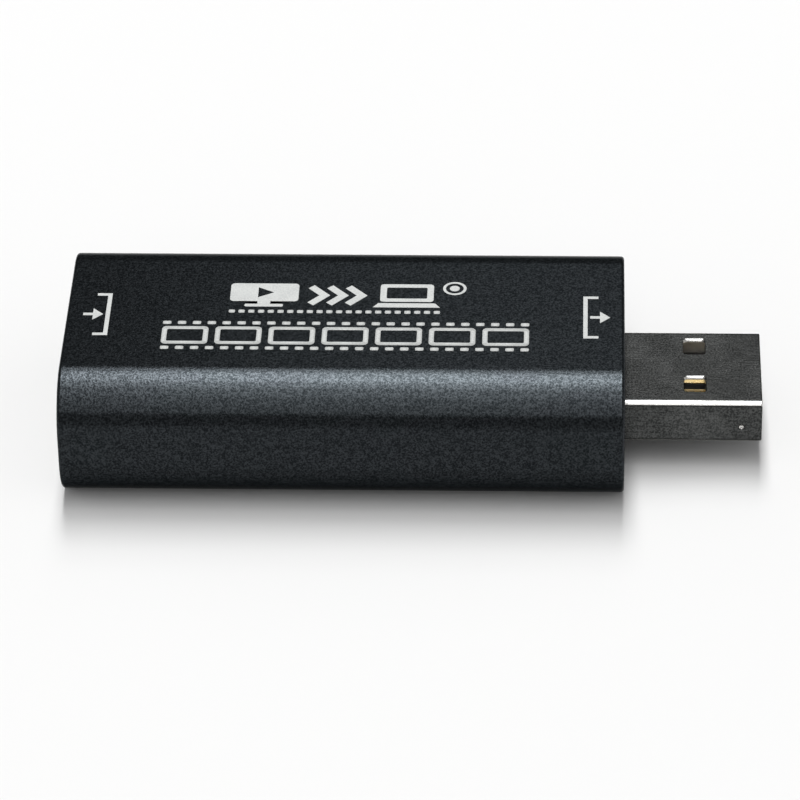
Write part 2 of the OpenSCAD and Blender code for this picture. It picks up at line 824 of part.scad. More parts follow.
module surge_arrestor_pads() {
    pitch = surge_l / surge_pads;
    color("#c4c6c8") for (side = [-1, 1], i = [0 : surge_pads - 1])
        on_board(surge_x, side * surge_y + (i - (surge_pads - 1) / 2) * pitch)
            block(surge_w, pitch / 2, surge_pad_h);
}

// A row of small parts along each free edge of the board, and two beads by the plug
small_w = 0.8;
capacitor_h = 0.7;
resistor_h = 0.35;
terminal_t = 0.3;
small_y = free_y - small_w / 2 - part_gap / 2;
bead_w = 1.2;
bead_h = 0.9;
bead_x = zone_x1 - bead_l / 2;
bead_y = [0.3, -2.2];

// Middle of part i in a row of n parts of length l
function row_x(i, n, l) = zone_x + (i - (n - 1) / 2) * (l + 2 * part_gap);

module capacitors() {
    color("#a58763") for (i = [0 : capacitor_count - 1])
        on_board(row_x(i, capacitor_count, capacitor_l), small_y)
            block(capacitor_l - 2 * terminal_t, small_w, capacitor_h);
}

module capacitor_terminals() {
    color("#c4c6c8") for (i = [0 : capacitor_count - 1])
        on_board(row_x(i, capacitor_count, capacitor_l), small_y)
            terminals(capacitor_l, small_w, capacitor_h);
}

module resistors() {
    color("#202123") for (i = [0 : resistor_count - 1])
        on_board(row_x(i, resistor_count, resistor_l), -small_y)
            block(resistor_l - 2 * terminal_t, small_w, resistor_h);
}

module resistor_terminals() {
    color("#c4c6c8") for (i = [0 : resistor_count - 1])
        on_board(row_x(i, resistor_count, resistor_l), -small_y)
            terminals(resistor_l, small_w, resistor_h);
}

module ferrite_beads() {
    color("#3c3d40") for (y = bead_y) on_board(bead_x, y) block(bead_l - 2 * terminal_t, bead_w, bead_h);
}

module bead_terminals() {
    color("#c4c6c8") for (y = bead_y) on_board(bead_x, y) terminals(bead_l, bead_w, bead_h);
}

housing_sleeve();
input_end_cap();
output_end_cap();
circuit_board();
socket_shell();
socket_insulator();
socket_upper_contacts();
socket_lower_contacts();
spring_at(spring_y, upper_spring_z, 0);  // socket_spring_upper_left
spring_at(-spring_y, upper_spring_z, 0);  // socket_spring_upper_right
spring_at(spring_y, lower_spring_z, 180);  // socket_spring_lower_left
spring_at(-spring_y, lower_spring_z, 180);  // socket_spring_lower_right
spring_at(side_spring_y, side_spring_z, -90);  // socket_spring_side_left
spring_at(-side_spring_y, side_spring_z, 90);  // socket_spring_side_right
socket_leg_solder();
plug_shell();
plug_insulator();
plug_power_contacts();
plug_data_contacts();
plug_leg_solder();
capture_chip();
capture_chip_leads();
memory_chip();
memory_chip_leads();
crystal_base();
crystal_lid();
regulators();
regulator_leads();
surge_arrestors();
surge_arrestor_pads();
capacitors();
capacitor_terminals();
resistors();
resistor_terminals();
ferrite_beads();
bead_terminals();
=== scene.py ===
"""Looks of a video capture box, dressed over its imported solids.

A blasted aluminium sleeve has a moulded cap at each end. A video socket sits behind one cap and a
serial plug comes out through the other, with a populated board between them. Lengths are in metres.
"""

import json
import logging
import math
from contextlib import contextmanager
from dataclasses import dataclass
from enum import Enum
from typing import Iterator, Sequence, Union

import bmesh
import bpy
from mathutils import Matrix, Vector


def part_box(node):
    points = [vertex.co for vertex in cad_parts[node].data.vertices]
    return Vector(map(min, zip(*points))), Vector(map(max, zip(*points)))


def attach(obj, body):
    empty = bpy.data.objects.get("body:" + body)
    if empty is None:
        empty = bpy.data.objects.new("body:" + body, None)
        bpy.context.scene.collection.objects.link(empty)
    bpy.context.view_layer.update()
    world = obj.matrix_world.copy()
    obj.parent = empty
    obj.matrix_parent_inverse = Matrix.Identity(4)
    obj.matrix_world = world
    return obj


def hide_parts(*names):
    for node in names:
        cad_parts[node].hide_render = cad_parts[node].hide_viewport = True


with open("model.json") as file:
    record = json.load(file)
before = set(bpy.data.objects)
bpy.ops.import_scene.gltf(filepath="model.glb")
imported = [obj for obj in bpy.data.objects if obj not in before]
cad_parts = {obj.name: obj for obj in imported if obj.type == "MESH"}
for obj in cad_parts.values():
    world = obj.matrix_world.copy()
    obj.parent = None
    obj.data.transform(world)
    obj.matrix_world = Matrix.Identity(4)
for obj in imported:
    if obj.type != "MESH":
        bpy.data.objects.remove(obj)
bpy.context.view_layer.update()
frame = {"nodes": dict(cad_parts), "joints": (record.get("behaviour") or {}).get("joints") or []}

LOG = logging.getLogger("capture_box")
MM = 0.001
CASE = "case"
# Vertices closer than this are one vertex
WELD = 1e-7
# Faces that meet at less than this angle shade as one surface
SMOOTH_ANGLE = math.radians(32)
# Widths of the rounding on mouldings and on solder
MOULDING_EDGE = 0.05 * MM
SOLDER_EDGE = 0.1 * MM
# What joins a sheet stays this far inside its faces
HAIR = 0.01 * MM

Point = tuple[float, float]
Colour = tuple[float, float, float]
Mesh = bpy.types.Mesh


class Slot(Enum):
    """Material slots of the record."""

    ANODISED = "anodised_aluminium"
    CAP = "cap_plastic"
    LAMINATE = "board_laminate"
    SOCKET_PLATE = "socket_plate"
    SPRING_PLATE = "spring_plate"
    PLUG_PLATE = "plug_plate"
    INSULATOR = "insulator_plastic"
    GOLD = "contact_gold"
    SOLDER = "solder"
    EPOXY = "chip_epoxy"
    TINNED = "tinned_lead"
    CRYSTAL_BASE = "crystal_ceramic"
    CRYSTAL_LID = "crystal_metal"
    CAPACITOR = "capacitor_ceramic"
    RESISTOR = "resistor_film"
    FERRITE = "ferrite"
    INK = "white_ink"


class Join(Enum):
    """How one closed mesh acts on another."""

    CUT = "DIFFERENCE"
    ADD = "UNION"


# Node trees


class Signal:
    """An output socket of a node tree that takes part in Python arithmetic."""

    def __init__(self, graph: "Graph", socket: bpy.types.NodeSocket) -> None:
        """Wraps one socket of a graph."""
        self.graph = graph
        self.socket = socket

    def __getitem__(self, name: str) -> "Signal":
        """Another output of the same node."""
        return Signal(self.graph, self.socket.node.outputs[name])

    def _math(self, operation: str, *values: "Value") -> "Signal":
        """A Math node over one value or two."""
        return self.graph.node("ShaderNodeMath", {"operation": operation}, dict(enumerate(values)))

    def __add__(self, other: "Value") -> "Signal":
        """The sum of two values."""
        return self._math("ADD", self, other)

    def __radd__(self, other: "Value") -> "Signal":
        """The sum, with the number first."""
        return self._math("ADD", other, self)

    def __sub__(self, other: "Value") -> "Signal":
        """The difference of two values."""
        return self._math("SUBTRACT", self, other)

    def __rsub__(self, other: "Value") -> "Signal":
        """The difference, with the number first."""
        return self._math("SUBTRACT", other, self)

    def __mul__(self, other: "Value") -> "Signal":
        """The product of two values."""
        return self._math("MULTIPLY", self, other)

    def __rmul__(self, other: "Value") -> "Signal":
        """The product, with the number first."""
        return self._math("MULTIPLY", other, self)

    def __truediv__(self, other: "Value") -> "Signal":
        """The ratio of two values."""
        return self._math("DIVIDE", self, other)

    def __rtruediv__(self, other: "Value") -> "Signal":
        """The ratio, with the number first."""
        return self._math("DIVIDE", other, self)

    def __gt__(self, other: "Value") -> "Signal":
        """One where the first value is the larger, and zero elsewhere."""
        return self._math("GREATER_THAN", self, other)

    def __abs__(self) -> "Signal":
        """The value without its sign."""
        return self._math("ABSOLUTE", self)


Value = Union[Signal, float, int, bool, tuple, list]


class Graph:
    """Adds nodes to a tree, for a finish or for a rule of shape."""

    def __init__(self, tree: bpy.types.NodeTree) -> None:
        """Works on one tree."""
        self.tree = tree

    def node(self, kind: str, settings: dict | None = None, inputs: dict | None = None) -> Signal:
        """Adds a node.

        Args:
            kind: The node's type.
            settings: Its properties, set before its sockets.
            inputs: Values, signals or lists of signals by a live socket's name or number.

        Returns:
            The node's first live output.
        """
        made = self.tree.nodes.new(kind)
        for name, value in (settings or {}).items():
            setattr(made, name, value)
        live = [socket for socket in made.inputs if socket.enabled]
        for key, value in (inputs or {}).items():
            socket = live[key] if isinstance(key, int) else next(s for s in live if s.name == key)
            for item in value if isinstance(value, list) else [value]:
                self._feed(socket, item)
        return Signal(self, next((socket for socket in made.outputs if socket.enabled), None))

    def _feed(self, socket: bpy.types.NodeSocket, value: Value) -> None:
        """Links a signal to a socket, or sets the socket's own value.

        Args:
            socket: The socket to feed.
            value: The signal, or a plain value.
        """
        if isinstance(value, Signal):
            self.tree.links.new(value.socket, socket)
        elif socket.type == "RGBA":
            socket.default_value = (*value, 1.0)
        else:
            socket.default_value = value

    def place(self, stretch: Colour = (1.0, 1.0, 1.0)) -> Signal:
        """The place on the piece, in metres, stretched along its axes.

        Args:
            stretch: Scale of a pattern along X, Y and Z.

        Returns:
            Object coordinates through a Mapping node.
        """
        raw = self.node("ShaderNodeTexCoord")["Object"]
        return self.node("ShaderNodeMapping", {}, {"Vector": raw, "Scale": stretch})

    def parts(self, vector: Signal) -> Signal:
        """A vector's X, with its Y and Z by name."""
        return self.node("ShaderNodeSeparateXYZ", {}, {"Vector": vector})

    def grain(self, pitch: float, detail: float = 2.0, stretch: Colour = (1.0, 1.0, 1.0)) -> Signal:
        """Even noise over a piece.

        Args:
            pitch: Size of one grain.
            detail: Number of finer octaves.
            stretch: Scale of the grain along X, Y and Z.

        Returns:
            Values about one half.
        """
        inputs = {"Vector": self.place(stretch), "Scale": 1.0 / pitch, "Detail": detail}
        return self.node("ShaderNodeTexNoise", {}, inputs)

    def ramp(self, value: Signal, low: float, high: float) -> Signal:
        """A smooth step of a value from zero at low to one at high."""
        settings = {"interpolation_type": "SMOOTHSTEP"}
        return self.node("ShaderNodeMapRange", settings, {"Value": value, "From Min": low, "From Max": high})

    def blend(self, share: Value, first: Value, second: Value) -> Signal:
        """A mix of two colours, the second by the share."""
        settings = {"data_type": "RGBA"}
        return self.node("ShaderNodeMix", settings, {"Factor": share, "A": first, "B": second})

    def bump(self, height: Signal, depth: float, under: Signal | None = None) -> Signal:
        """A relief on the surface.

        Args:
            height: Relief from zero to one.
            depth: How deep one unit of the relief is.
            under: A coarser relief that it lies on.

        Returns:
            The bumped normal.
        """
        inputs = {"Strength": 1.0, "Distance": depth, "Height": height}
        if under is not None:
            inputs["Normal"] = under
        return self.node("ShaderNodeBump", {}, inputs)

    def surface(self, **sockets: Value) -> Signal:
        """A Principled surface whose socket names are written with underscores."""
        inputs = {name.replace("_", " "): value for name, value in sockets.items()}
        return self.node("ShaderNodeBsdfPrincipled", {}, inputs)


# Finishes


@dataclass(frozen=True)
class Finish:
    """A surface finish, made a material on first use."""

    name: str

    def material(self) -> bpy.types.Material:
        """The finish as a material.

        Returns:
            The material, made on the first call.
        """
        known = bpy.data.materials.get(self.name)
        if known is not None:
            return known
        made = bpy.data.materials.new(self.name)
        made.use_nodes = True
        made.node_tree.nodes.clear()
        graph = Graph(made.node_tree)
        graph.node("ShaderNodeOutputMaterial", {}, {"Surface": self.paint(graph)})
        return made

    def paint(self, graph: Graph) -> Signal:
        """The shader of the finish, which each kind gives."""
        raise NotImplementedError


@dataclass(frozen=True)
class BlastedAnodising(Finish):
    """Bead-blasted and dyed aluminium, with its colour worn thin at the sleeve's ends.

    The dyed skin lets most of the metal's gleam through, and less of it at a low angle.
    """

    dark: Colour = (0.0106, 0.0126, 0.0140)
    pale: Colour = (0.0374, 0.0424, 0.0462)
    worn: Colour = (0.060, 0.064, 0.068)
    low_gleam: Colour = (0.45, 0.45, 0.45)
    metal: float = 0.7
    bead: float = 0.17 * MM
    patch: float = 6.0 * MM
    pit_depth: float = 0.007 * MM
    middle: float = 0.0
    half_length: float = 26.0 * MM
    worn_width: float = 0.22 * MM

    def paint(self, graph: Graph) -> Signal:
        """Speckled colour, a pitted relief and a thin worn line at each end.

        Args:
            graph: The material's node tree.

        Returns:
            The shader.
        """
        beads = graph.grain(self.bead, 1.5)
        coarse = graph.grain(self.bead * 2.2, 1.0)
        cloud = graph.grain(self.patch, 2.0)
        speckle = graph.ramp(beads * 0.75 + coarse * 0.25, 0.36, 0.68)
        dyed = graph.blend(speckle, self.dark, self.pale)
        along = graph.parts(graph.place())
        to_end = abs(along - self.middle)
        edge = graph.ramp(to_end, self.half_length - self.worn_width, self.half_length)
        colour = graph.blend(edge * (0.4 + beads * 0.6), dyed, self.worn)
        relief = graph.bump(beads, self.pit_depth, graph.bump(coarse, self.pit_depth))
        return graph.surface(
            Base_Color=colour,
            Metallic=self.metal,
            Roughness=0.13 + beads * 0.08 + cloud * 0.03,
            Specular_IOR_Level=0.0,
            Specular_Tint=self.low_gleam,
            Normal=relief,
        )


@dataclass(frozen=True)
class MouldedPlastic(Finish):
    """Moulded plastic with a spark-eroded texture."""

    dark: Colour = (0.010, 0.0105, 0.011)
    pale: Colour = (0.018, 0.019, 0.020)
    spark: float = 0.22 * MM
    spark_depth: float = 0.008 * MM
    gloss: float = 0.42
    flow: float = 2.5 * MM
    flow_stretch: Colour = (1.0, 1.0, 1.0)

    def paint(self, graph: Graph) -> Signal:
        """Fine texture over faint flow marks from the mould.

        Args:
            graph: The material's node tree.

        Returns:
            The shader.
        """
        sparks = graph.grain(self.spark, 2.0)
        flow = graph.grain(self.flow, 3.0, self.flow_stretch)
        return graph.surface(
            Base_Color=graph.blend(graph.ramp(flow * 0.6 + sparks * 0.4, 0.3, 0.7), self.dark, self.pale),
            Roughness=self.gloss - 0.06 + sparks * 0.12,
            Specular_IOR_Level=0.38,
            Normal=graph.bump(sparks, self.spark_depth),
        )


@dataclass(frozen=True)
class PlatedSheet(Finish):
    """Rolled sheet under plating, with fine grain and smudges.

    On a tube, the bends and cut edges take a pale colour that is partly burnishing and partly a painted
    highlight, and the inside is pale and dull.
    """

    # These dark defaults are the plug's: its nickel gets a far darker colour than the socket's and the
    # springs', painted shade that stands in for the dark surroundings that it reflects
    dark: Colour = (0.023, 0.0241, 0.0236)
    pale: Colour = (0.101, 0.1036, 0.1018)
    low_gleam: Colour = (1.0, 1.0, 1.0)
    # Pale colour of the bends: partly burnishing, partly a painted highlight
    burnished_and_highlight: Colour = (0.62, 0.61, 0.59)
    inner: Colour = (0.90, 0.87, 0.81)
    inner_dullness: float = 0.35
    tube_width: float = 0.0
    tube_height: float = 0.0
    tube_z: float = 0.0
    tube_sheet: float = 0.3 * MM
    # Where the pale bend colour starts, from the top and from the sides: partly burnishing, partly a painted
    # highlight
    rub_and_highlight_top: tuple[float, float] = (0.02 * MM, 0.05 * MM)
    rub_and_highlight_side: tuple[float, float] = (0.06 * MM, 0.10 * MM)
    grit: float = 0.17 * MM
    grit_depth: float = 0.0030 * MM
    smudge: float = 4.0 * MM
    shine: float = 0.21
    roll_stretch: Colour = (0.12, 1.0, 1.0)

    def paint(self, graph: Graph) -> Signal:
        """Metal whose colour and gloss shift with grain, rolling lines and smudges.

        Args:
            graph: The material's node tree.

        Returns:
            The shader.
        """
        grit = graph.grain(self.grit, 2.0)
        rolled = graph.grain(self.grit, 1.0, self.roll_stretch)
        smudge = graph.ramp(graph.grain(self.smudge, 3.0), 0.42, 0.68)
        mottle = graph.ramp(grit * 0.75 + rolled * 0.25, 0.34, 0.66)
        spot = graph.parts(graph.place())
        from_side = self.tube_width / 2 - abs(spot["Y"])
        from_top = self.tube_height / 2 - abs(spot["Z"] - self.tube_z)
        depth = graph.node("ShaderNodeMath", {"operation": "MINIMUM"}, {0: from_side, 1: from_top})
        # Pale bends, partly burnishing and partly a painted highlight along them
        rubbed_and_highlit = graph.ramp(from_top, *self.rub_and_highlight_top) * graph.ramp(from_side, *self.rub_and_highlight_side)
        inside = graph.ramp(depth, 0.6 * self.tube_sheet, 0.8 * self.tube_sheet)
        plated = graph.blend(mottle * 0.75 + smudge * 0.25, self.dark, self.pale)
        outer = graph.blend(rubbed_and_highlit, plated, self.burnished_and_highlight)
        return graph.surface(
            Base_Color=graph.blend(inside * (0.8 + mottle * 0.2), outer, self.inner),
            Metallic=1.0,
            Roughness=self.shine + mottle * 0.06 + smudge * 0.015 + inside * self.inner_dullness,
            Specular_Tint=self.low_gleam,
            Normal=graph.bump(grit * 0.6 + rolled * 0.4, self.grit_depth),
        )


@dataclass(frozen=True)
class GoldFlash(Finish):
    """Thin gold over nickel on a contact, wiped along its length."""

    gold: Colour = (0.72, 0.54, 0.25)
    thin: Colour = (0.60, 0.50, 0.32)
    wipe: float = 0.10 * MM
    wipe_depth: float = 0.001 * MM
    wipe_stretch: Colour = (0.08, 1.0, 1.0)

    def paint(self, graph: Graph) -> Signal:
        """Gold with lengthwise wipe marks that show the paler metal.

        Args:
            graph: The material's node tree.

        Returns:
            The shader.
        """
        wipes = graph.grain(self.wipe, 2.0, self.wipe_stretch)
        patch = graph.grain(self.wipe * 9.0, 2.0)
        return graph.surface(
            Base_Color=graph.blend(graph.ramp(wipes * 0.5 + patch * 0.5, 0.48, 0.72), self.gold, self.thin),
            Metallic=1.0,
            Roughness=0.16 + wipes * 0.14,
            Normal=graph.bump(wipes, self.wipe_depth),
        )


@dataclass(frozen=True)
class TinnedMetal(Finish):
    """Dull tin or solder with a frosted, crystalline skin."""

    dark: Colour = (0.42, 0.43, 0.45)
    pale: Colour = (0.62, 0.63, 0.65)
    crystal: float = 0.12 * MM
    ripple_depth: float = 0.004 * MM
    shine: float = 0.30

    def paint(self, graph: Graph) -> Signal:
        """Crystal cells with their own tone, over a soft ripple.

        Args:
            graph: The material's node tree.

        Returns:
            The shader.
        """
        cells = graph.node("ShaderNodeTexVoronoi", {}, {"Vector": graph.place(), "Scale": 1.0 / self.crystal})
        ripple = graph.grain(self.crystal * 2.0, 2.0)
        tone = graph.ramp(cells * 0.5 + ripple * 0.5, 0.2, 0.7)
        return graph.surface(
            Base_Color=graph.blend(tone, self.dark, self.pale),
            Metallic=1.0,
            Roughness=self.shine + tone * 0.14,
            Normal=graph.bump(ripple, self.ripple_depth),
        )


@dataclass(frozen=True)
class SolderMask(Finish):
    """Green lacquer over copper tracks on woven glass, bare at the board's cut edges."""

    lacquer: Colour = (0.010, 0.085, 0.035)
    over_copper: Colour = (0.030, 0.170, 0.065)
    glass: Colour = (0.42, 0.37, 0.20)
    track: float = 1.3 * MM
    weave: float = 0.45 * MM
    track_depth: float = 0.02 * MM
    bottom: float = 0.0
    top: float = 1.0 * MM
    edge: float = 0.06 * MM

    def paint(self, graph: Graph) -> Signal:
        """Lacquer with raised tracks, a faint weave and pale cut edges.

        Args:
            graph: The material's node tree.

        Returns:
            The shader.
        """
        settings = {"feature": "DISTANCE_TO_EDGE"}
        inputs = {"Vector": graph.place(), "Scale": 1.0 / self.track, "Randomness": 0.55}
        cells = graph.node("ShaderNodeTexVoronoi", settings, inputs)
        copper = 1.0 - graph.ramp(cells, 0.10, 0.14)
        weave = graph.grain(self.weave, 1.0)
        height = graph.parts(graph.place())["Z"]
        middle = (self.top + self.bottom) / 2
        cut = (self.top - self.bottom) / 2 - self.edge
        skin = graph.ramp(abs(height - middle), cut, cut + self.edge)
        painted = graph.blend(copper, self.lacquer, self.over_copper)
        return graph.surface(
            Base_Color=graph.blend(skin, self.glass, painted),
            Roughness=0.26 + weave * 0.10 + (1.0 - skin) * 0.3,
            Normal=graph.bump(copper * 0.7 + weave * 0.3, self.track_depth),
        )


@dataclass(frozen=True)
class FiredBody(Finish):
    """A pressed or fired body, such as chip resin, ceramic, film or ferrite."""

    dark: Colour = (0.012, 0.012, 0.013)
    pale: Colour = (0.024, 0.024, 0.025)
    speck: float = 0.07 * MM
    speck_depth: float = 0.004 * MM
    gloss: float = 0.5

    def paint(self, graph: Graph) -> Signal:
        """Specks of filler in a fine matt skin.

        Args:
            graph: The material's node tree.

        Returns:
            The shader.
        """
        specks = graph.grain(self.speck, 3.0)
        drift = graph.grain(self.speck * 12.0, 2.0)
        return graph.surface(
            Base_Color=graph.blend(graph.ramp(specks * 0.6 + drift * 0.4, 0.35, 0.65), self.dark, self.pale),
            Roughness=self.gloss - 0.08 + specks * 0.16,
            Normal=graph.bump(specks, self.speck_depth),
        )


@dataclass(frozen=True)
class ScreenInk(Finish):
    """White ink pressed through a mesh, a little uneven, with the blasted surface showing through."""

    full: Colour = (0.65, 0.665, 0.65)
    thin: Colour = (0.53, 0.545, 0.54)
    mesh: float = 0.16 * MM
    mesh_depth: float = 0.004 * MM

    def paint(self, graph: Graph) -> Signal:
        """Ink that thins in small spots.

        Args:
            graph: The material's node tree.

        Returns:
            The shader.
        """
        spots = graph.grain(self.mesh, 2.0)
        cover = graph.grain(self.mesh * 10.0, 2.0)
        return graph.surface(
            Base_Color=graph.blend(graph.ramp(spots * 0.7 + cover * 0.3, 0.36, 0.62), self.thin, self.full),
            Roughness=0.5 + spots * 0.14,
            Specular_IOR_Level=0.3,
            Normal=graph.bump(spots, self.mesh_depth),
        )


@dataclass(frozen=True)
class PaperFloor(Finish):
    """Pale, even paper."""

    shade: Colour = (0.862, 0.862, 0.860)

    def paint(self, graph: Graph) -> Signal:
        """Paper without a sheen."""
        return graph.surface(Base_Color=self.shade, Roughness=1.0, Specular_IOR_Level=0.0)


# Meshes


@contextmanager
def on_bench(data: Union[Mesh, bpy.types.Curve]) -> Iterator[bpy.types.Object]:
    """A scratch object for a mesh or a curve while modifiers work on it.

    Args:
        data: What the object holds.

    Returns:
        The object, which is removed afterwards.
    """
    holder = bpy.data.objects.new("bench", data)
    bpy.context.scene.collection.objects.link(holder)
    try:
        yield holder
    finally:
        bpy.data.objects.remove(holder)


def settled(holder: bpy.types.Object) -> Mesh:
    """What an object's modifiers make of it, as a plain mesh.

    Args:
        holder: The object with its modifiers.

    Returns:
        A new mesh.
    """
    depsgraph = bpy.context.evaluated_depsgraph_get()
    shown = holder.evaluated_get(depsgraph)
    return bpy.data.meshes.new_from_object(shown, preserve_all_data_layers=True, depsgraph=depsgraph)


def closed(mesh: Mesh) -> Mesh:
    """A mesh with its doubles merged and its faces outwards.

    Args:
        mesh: The mesh to clean.

    Returns:
        The same mesh.
    """
    work = bmesh.new()
    work.from_mesh(mesh)
    bmesh.ops.remove_doubles(work, verts=work.verts, dist=WELD)
    bmesh.ops.recalc_face_normals(work, faces=work.faces)
    work.to_mesh(mesh)
    work.free()
    return mesh


def moved(mesh: Mesh, matrix: Matrix) -> Mesh:
    """The mesh in its new place."""
    mesh.transform(matrix)
    return mesh


def shifted(mesh: Mesh, x: float, y: float, z: float) -> Mesh:
    """The mesh moved without a turn."""
    return moved(mesh, Matrix.Translation((x, y, z)))


def along_x(x: float, y: float, z: float) -> Matrix:
    """A place whose local XY plane faces along X, with local X on Y and local Y on Z."""
    return Matrix(((0, 0, 1, x), (1, 0, 0, y), (0, 1, 0, z), (0, 0, 0, 1)))


def poured(work: bmesh.types.BMesh, name: str) -> Mesh:
    """A mesh from work that is then done with.

    Args:
        work: The finished work, which is freed.
        name: Name of the mesh.

    Returns:
        The mesh.
    """
    made = bpy.data.meshes.new(name)
    work.to_mesh(made)
    work.free()
    return made


def merged(meshes: Sequence[Mesh]) -> Mesh:
    """Several meshes as one, each left a shell of its own.

    Args:
        meshes: The meshes to take up.

    Returns:
        A new mesh.
    """
    work = bmesh.new()
    for mesh in meshes:
        work.from_mesh(mesh)
    return poured(work, "merged")


def combined(mesh: Mesh, tools: Sequence[Mesh], join: Join) -> Mesh:
    """A closed mesh cut by tools or joined to them.

    Args:
        mesh: The mesh to work on.
        tools: Closed meshes.
        join: Whether the tools cut or add.

    Returns:
        A new mesh.
    """
    holders = [bpy.data.objects.new("tool", tool) for tool in tools]
    with on_bench(mesh) as body:
        for holder in holders:
            bpy.context.scene.collection.objects.link(holder)
            modifier = body.modifiers.new("join", "BOOLEAN")
            modifier.operation = join.value
            modifier.solver = "EXACT"
            modifier.object = holder
        made = settled(body)
    for holder in holders:
        bpy.data.objects.remove(holder)
    return made


def eased(mesh: Mesh, width: float = 0.0, segments: int = 2) -> Mesh:
    """A mesh with its sharp edges rounded and its flats shaded flat.

    Args:
        mesh: The mesh to finish.
        width: Width of the rounding, or zero for none.
        segments: Faces across the rounding.

    Returns:
        A new mesh.
    """
    mesh.shade_smooth()
    mesh.set_sharp_from_angle(angle=SMOOTH_ANGLE)
    with on_bench(mesh) as body:
        if width > 0:
            bevel = body.modifiers.new("ease", "BEVEL")
            bevel.width = width
            bevel.segments = segments
            bevel.limit_method = "ANGLE"
            bevel.angle_limit = SMOOTH_ANGLE
        weights = body.modifiers.new("flats", "WEIGHTED_NORMAL")
        weights.keep_sharp = True
        made = settled(body)
    return made


def block(low: Sequence[float], high: Sequence[float]) -> Mesh:
    """A box between two corners.

    Args:
        low: Its lowest corner.
        high: Its highest corner.

    Returns:
        A closed mesh.
    """
    centre = (Vector(low) + Vector(high)) / 2
    size = Vector(high) - Vector(low)
    work = bmesh.new()
    matrix = Matrix.Translation(centre) @ Matrix.Diagonal((*size, 1.0))
    bmesh.ops.create_cube(work, size=1.0, matrix=matrix)
    return poured(work, "block")


def rod(start: Sequence[float], end: Sequence[float], radius: float, sides: int = 24) -> Mesh:
    """A round bar between two points.

    Args:
        start: Middle of one end.
        end: Middle of the other end.
        radius: Radius of the bar.
        sides: Faces round it.

    Returns:
        A closed mesh.
    """
    axis = Vector(end) - Vector(start)
    turn = axis.to_track_quat("Z", "Y").to_matrix().to_4x4()
    matrix = Matrix.Translation((Vector(start) + Vector(end)) / 2) @ turn
    work = bmesh.new()
    bmesh.ops.create_cone(
        work, cap_ends=True, segments=sides, radius1=radius, radius2=radius, depth=axis.length, matrix=matrix
    )
    return poured(work, "rod")


def ball(centre: Sequence[float], radius: float) -> Mesh:
    """A fine ball.

    Args:
        centre: Its middle.
        radius: Its radius.

    Returns:
        A closed mesh.
    """
    work = bmesh.new()
    bmesh.ops.create_uvsphere(
        work, u_segments=32, v_segments=20, radius=radius, matrix=Matrix.Translation(centre)
    )
    return poured(work, "ball")


def plate(outlines: Sequence[Sequence[Point]], thickness: float, bevel: float = 0.0) -> Mesh:
    """A flat plate about its own XY plane, with holes.

    Args:
        outlines: Closed outlines; one inside another is a hole.
        thickness: Thickness of the plate.
        bevel: Radius of its edges.

    Returns:
        A closed mesh.
    """
    curve = bpy.data.curves.new("plate", "CURVE")
    curve.dimensions = "2D"
    curve.fill_mode = "BOTH"
    curve.extrude = thickness / 2 - bevel
    curve.bevel_depth = bevel
    curve.bevel_resolution = 2
    curve.offset = -bevel
    for outline in outlines:
        spline = curve.splines.new("POLY")
        spline.points.add(len(outline) - 1)
        for point, (x, y) in zip(spline.points, outline):
            point.co = (x, y, 0.0, 1.0)
        spline.use_cyclic_u = True
    with on_bench(curve) as holder:
        made = settled(holder)
    bpy.data.curves.remove(curve)
    return closed(made)


def polyline(points: Sequence[Sequence[float]], loop: bool = False) -> Mesh:
    """A chain of edges that a rule of shape follows.

    Args:
        points: Points of the chain, in two or three dimensions.
        loop: Whether its ends meet.

    Returns:
        A mesh of edges alone.
    """
    count = len(points)
    edges = [(i, (i + 1) % count) for i in range(count if loop else count - 1)]
    made = bpy.data.meshes.new("path")
    made.from_pydata([Vector(p).to_3d() for p in points], edges, [])
    return made


def lofted(rings: Sequence[Sequence[Sequence[float]]]) -> Mesh:
    """A closed mesh through rings of equal count, capped at the first and the last.

    Args:
        rings: Points of each ring, in the same order round it.

    Returns:
        The mesh, with its faces outwards.
    """
    count = len(rings[0])
    faces = [list(range(count)), list(range((len(rings) - 1) * count, len(rings) * count))]
    for ring in range(len(rings) - 1):
        for index in range(count):
            after = (index + 1) % count
            low = ring * count
            faces.append([low + index, low + after, low + count + after, low + count + index])
    made = bpy.data.meshes.new("loft")
    made.from_pydata([point for ring in rings for point in ring], [], faces)
    return closed(made)


def refined(node: str, width: float, segments: int = 2) -> Mesh:
    """A solid of the frame as a clean mesh with eased edges.

    Args:
        node: Name of the solid.
        width: Width of the rounding.
        segments: Faces across the rounding.

    Returns:
        A new mesh.
    """
    work = bmesh.new()
    work.from_mesh(frame["nodes"][node].data)
    bmesh.ops.remove_doubles(work, verts=work.verts, dist=WELD * 5)
    bmesh.ops.dissolve_limit(work, angle_limit=math.radians(0.5), verts=work.verts, edges=work.edges)
    return eased(poured(work, node), width, segments)


# Outlines


def rectangle(width: float, height: float) -> list[Point]:
    """Corners of a rectangle about the origin, counter-clockwise.

    Args:
        width: Its width.
        height: Its height.

    Returns:
        Four corners.
    """
    x = width / 2
    y = height / 2
    return [(-x, -y), (x, -y), (x, y), (-x, y)]


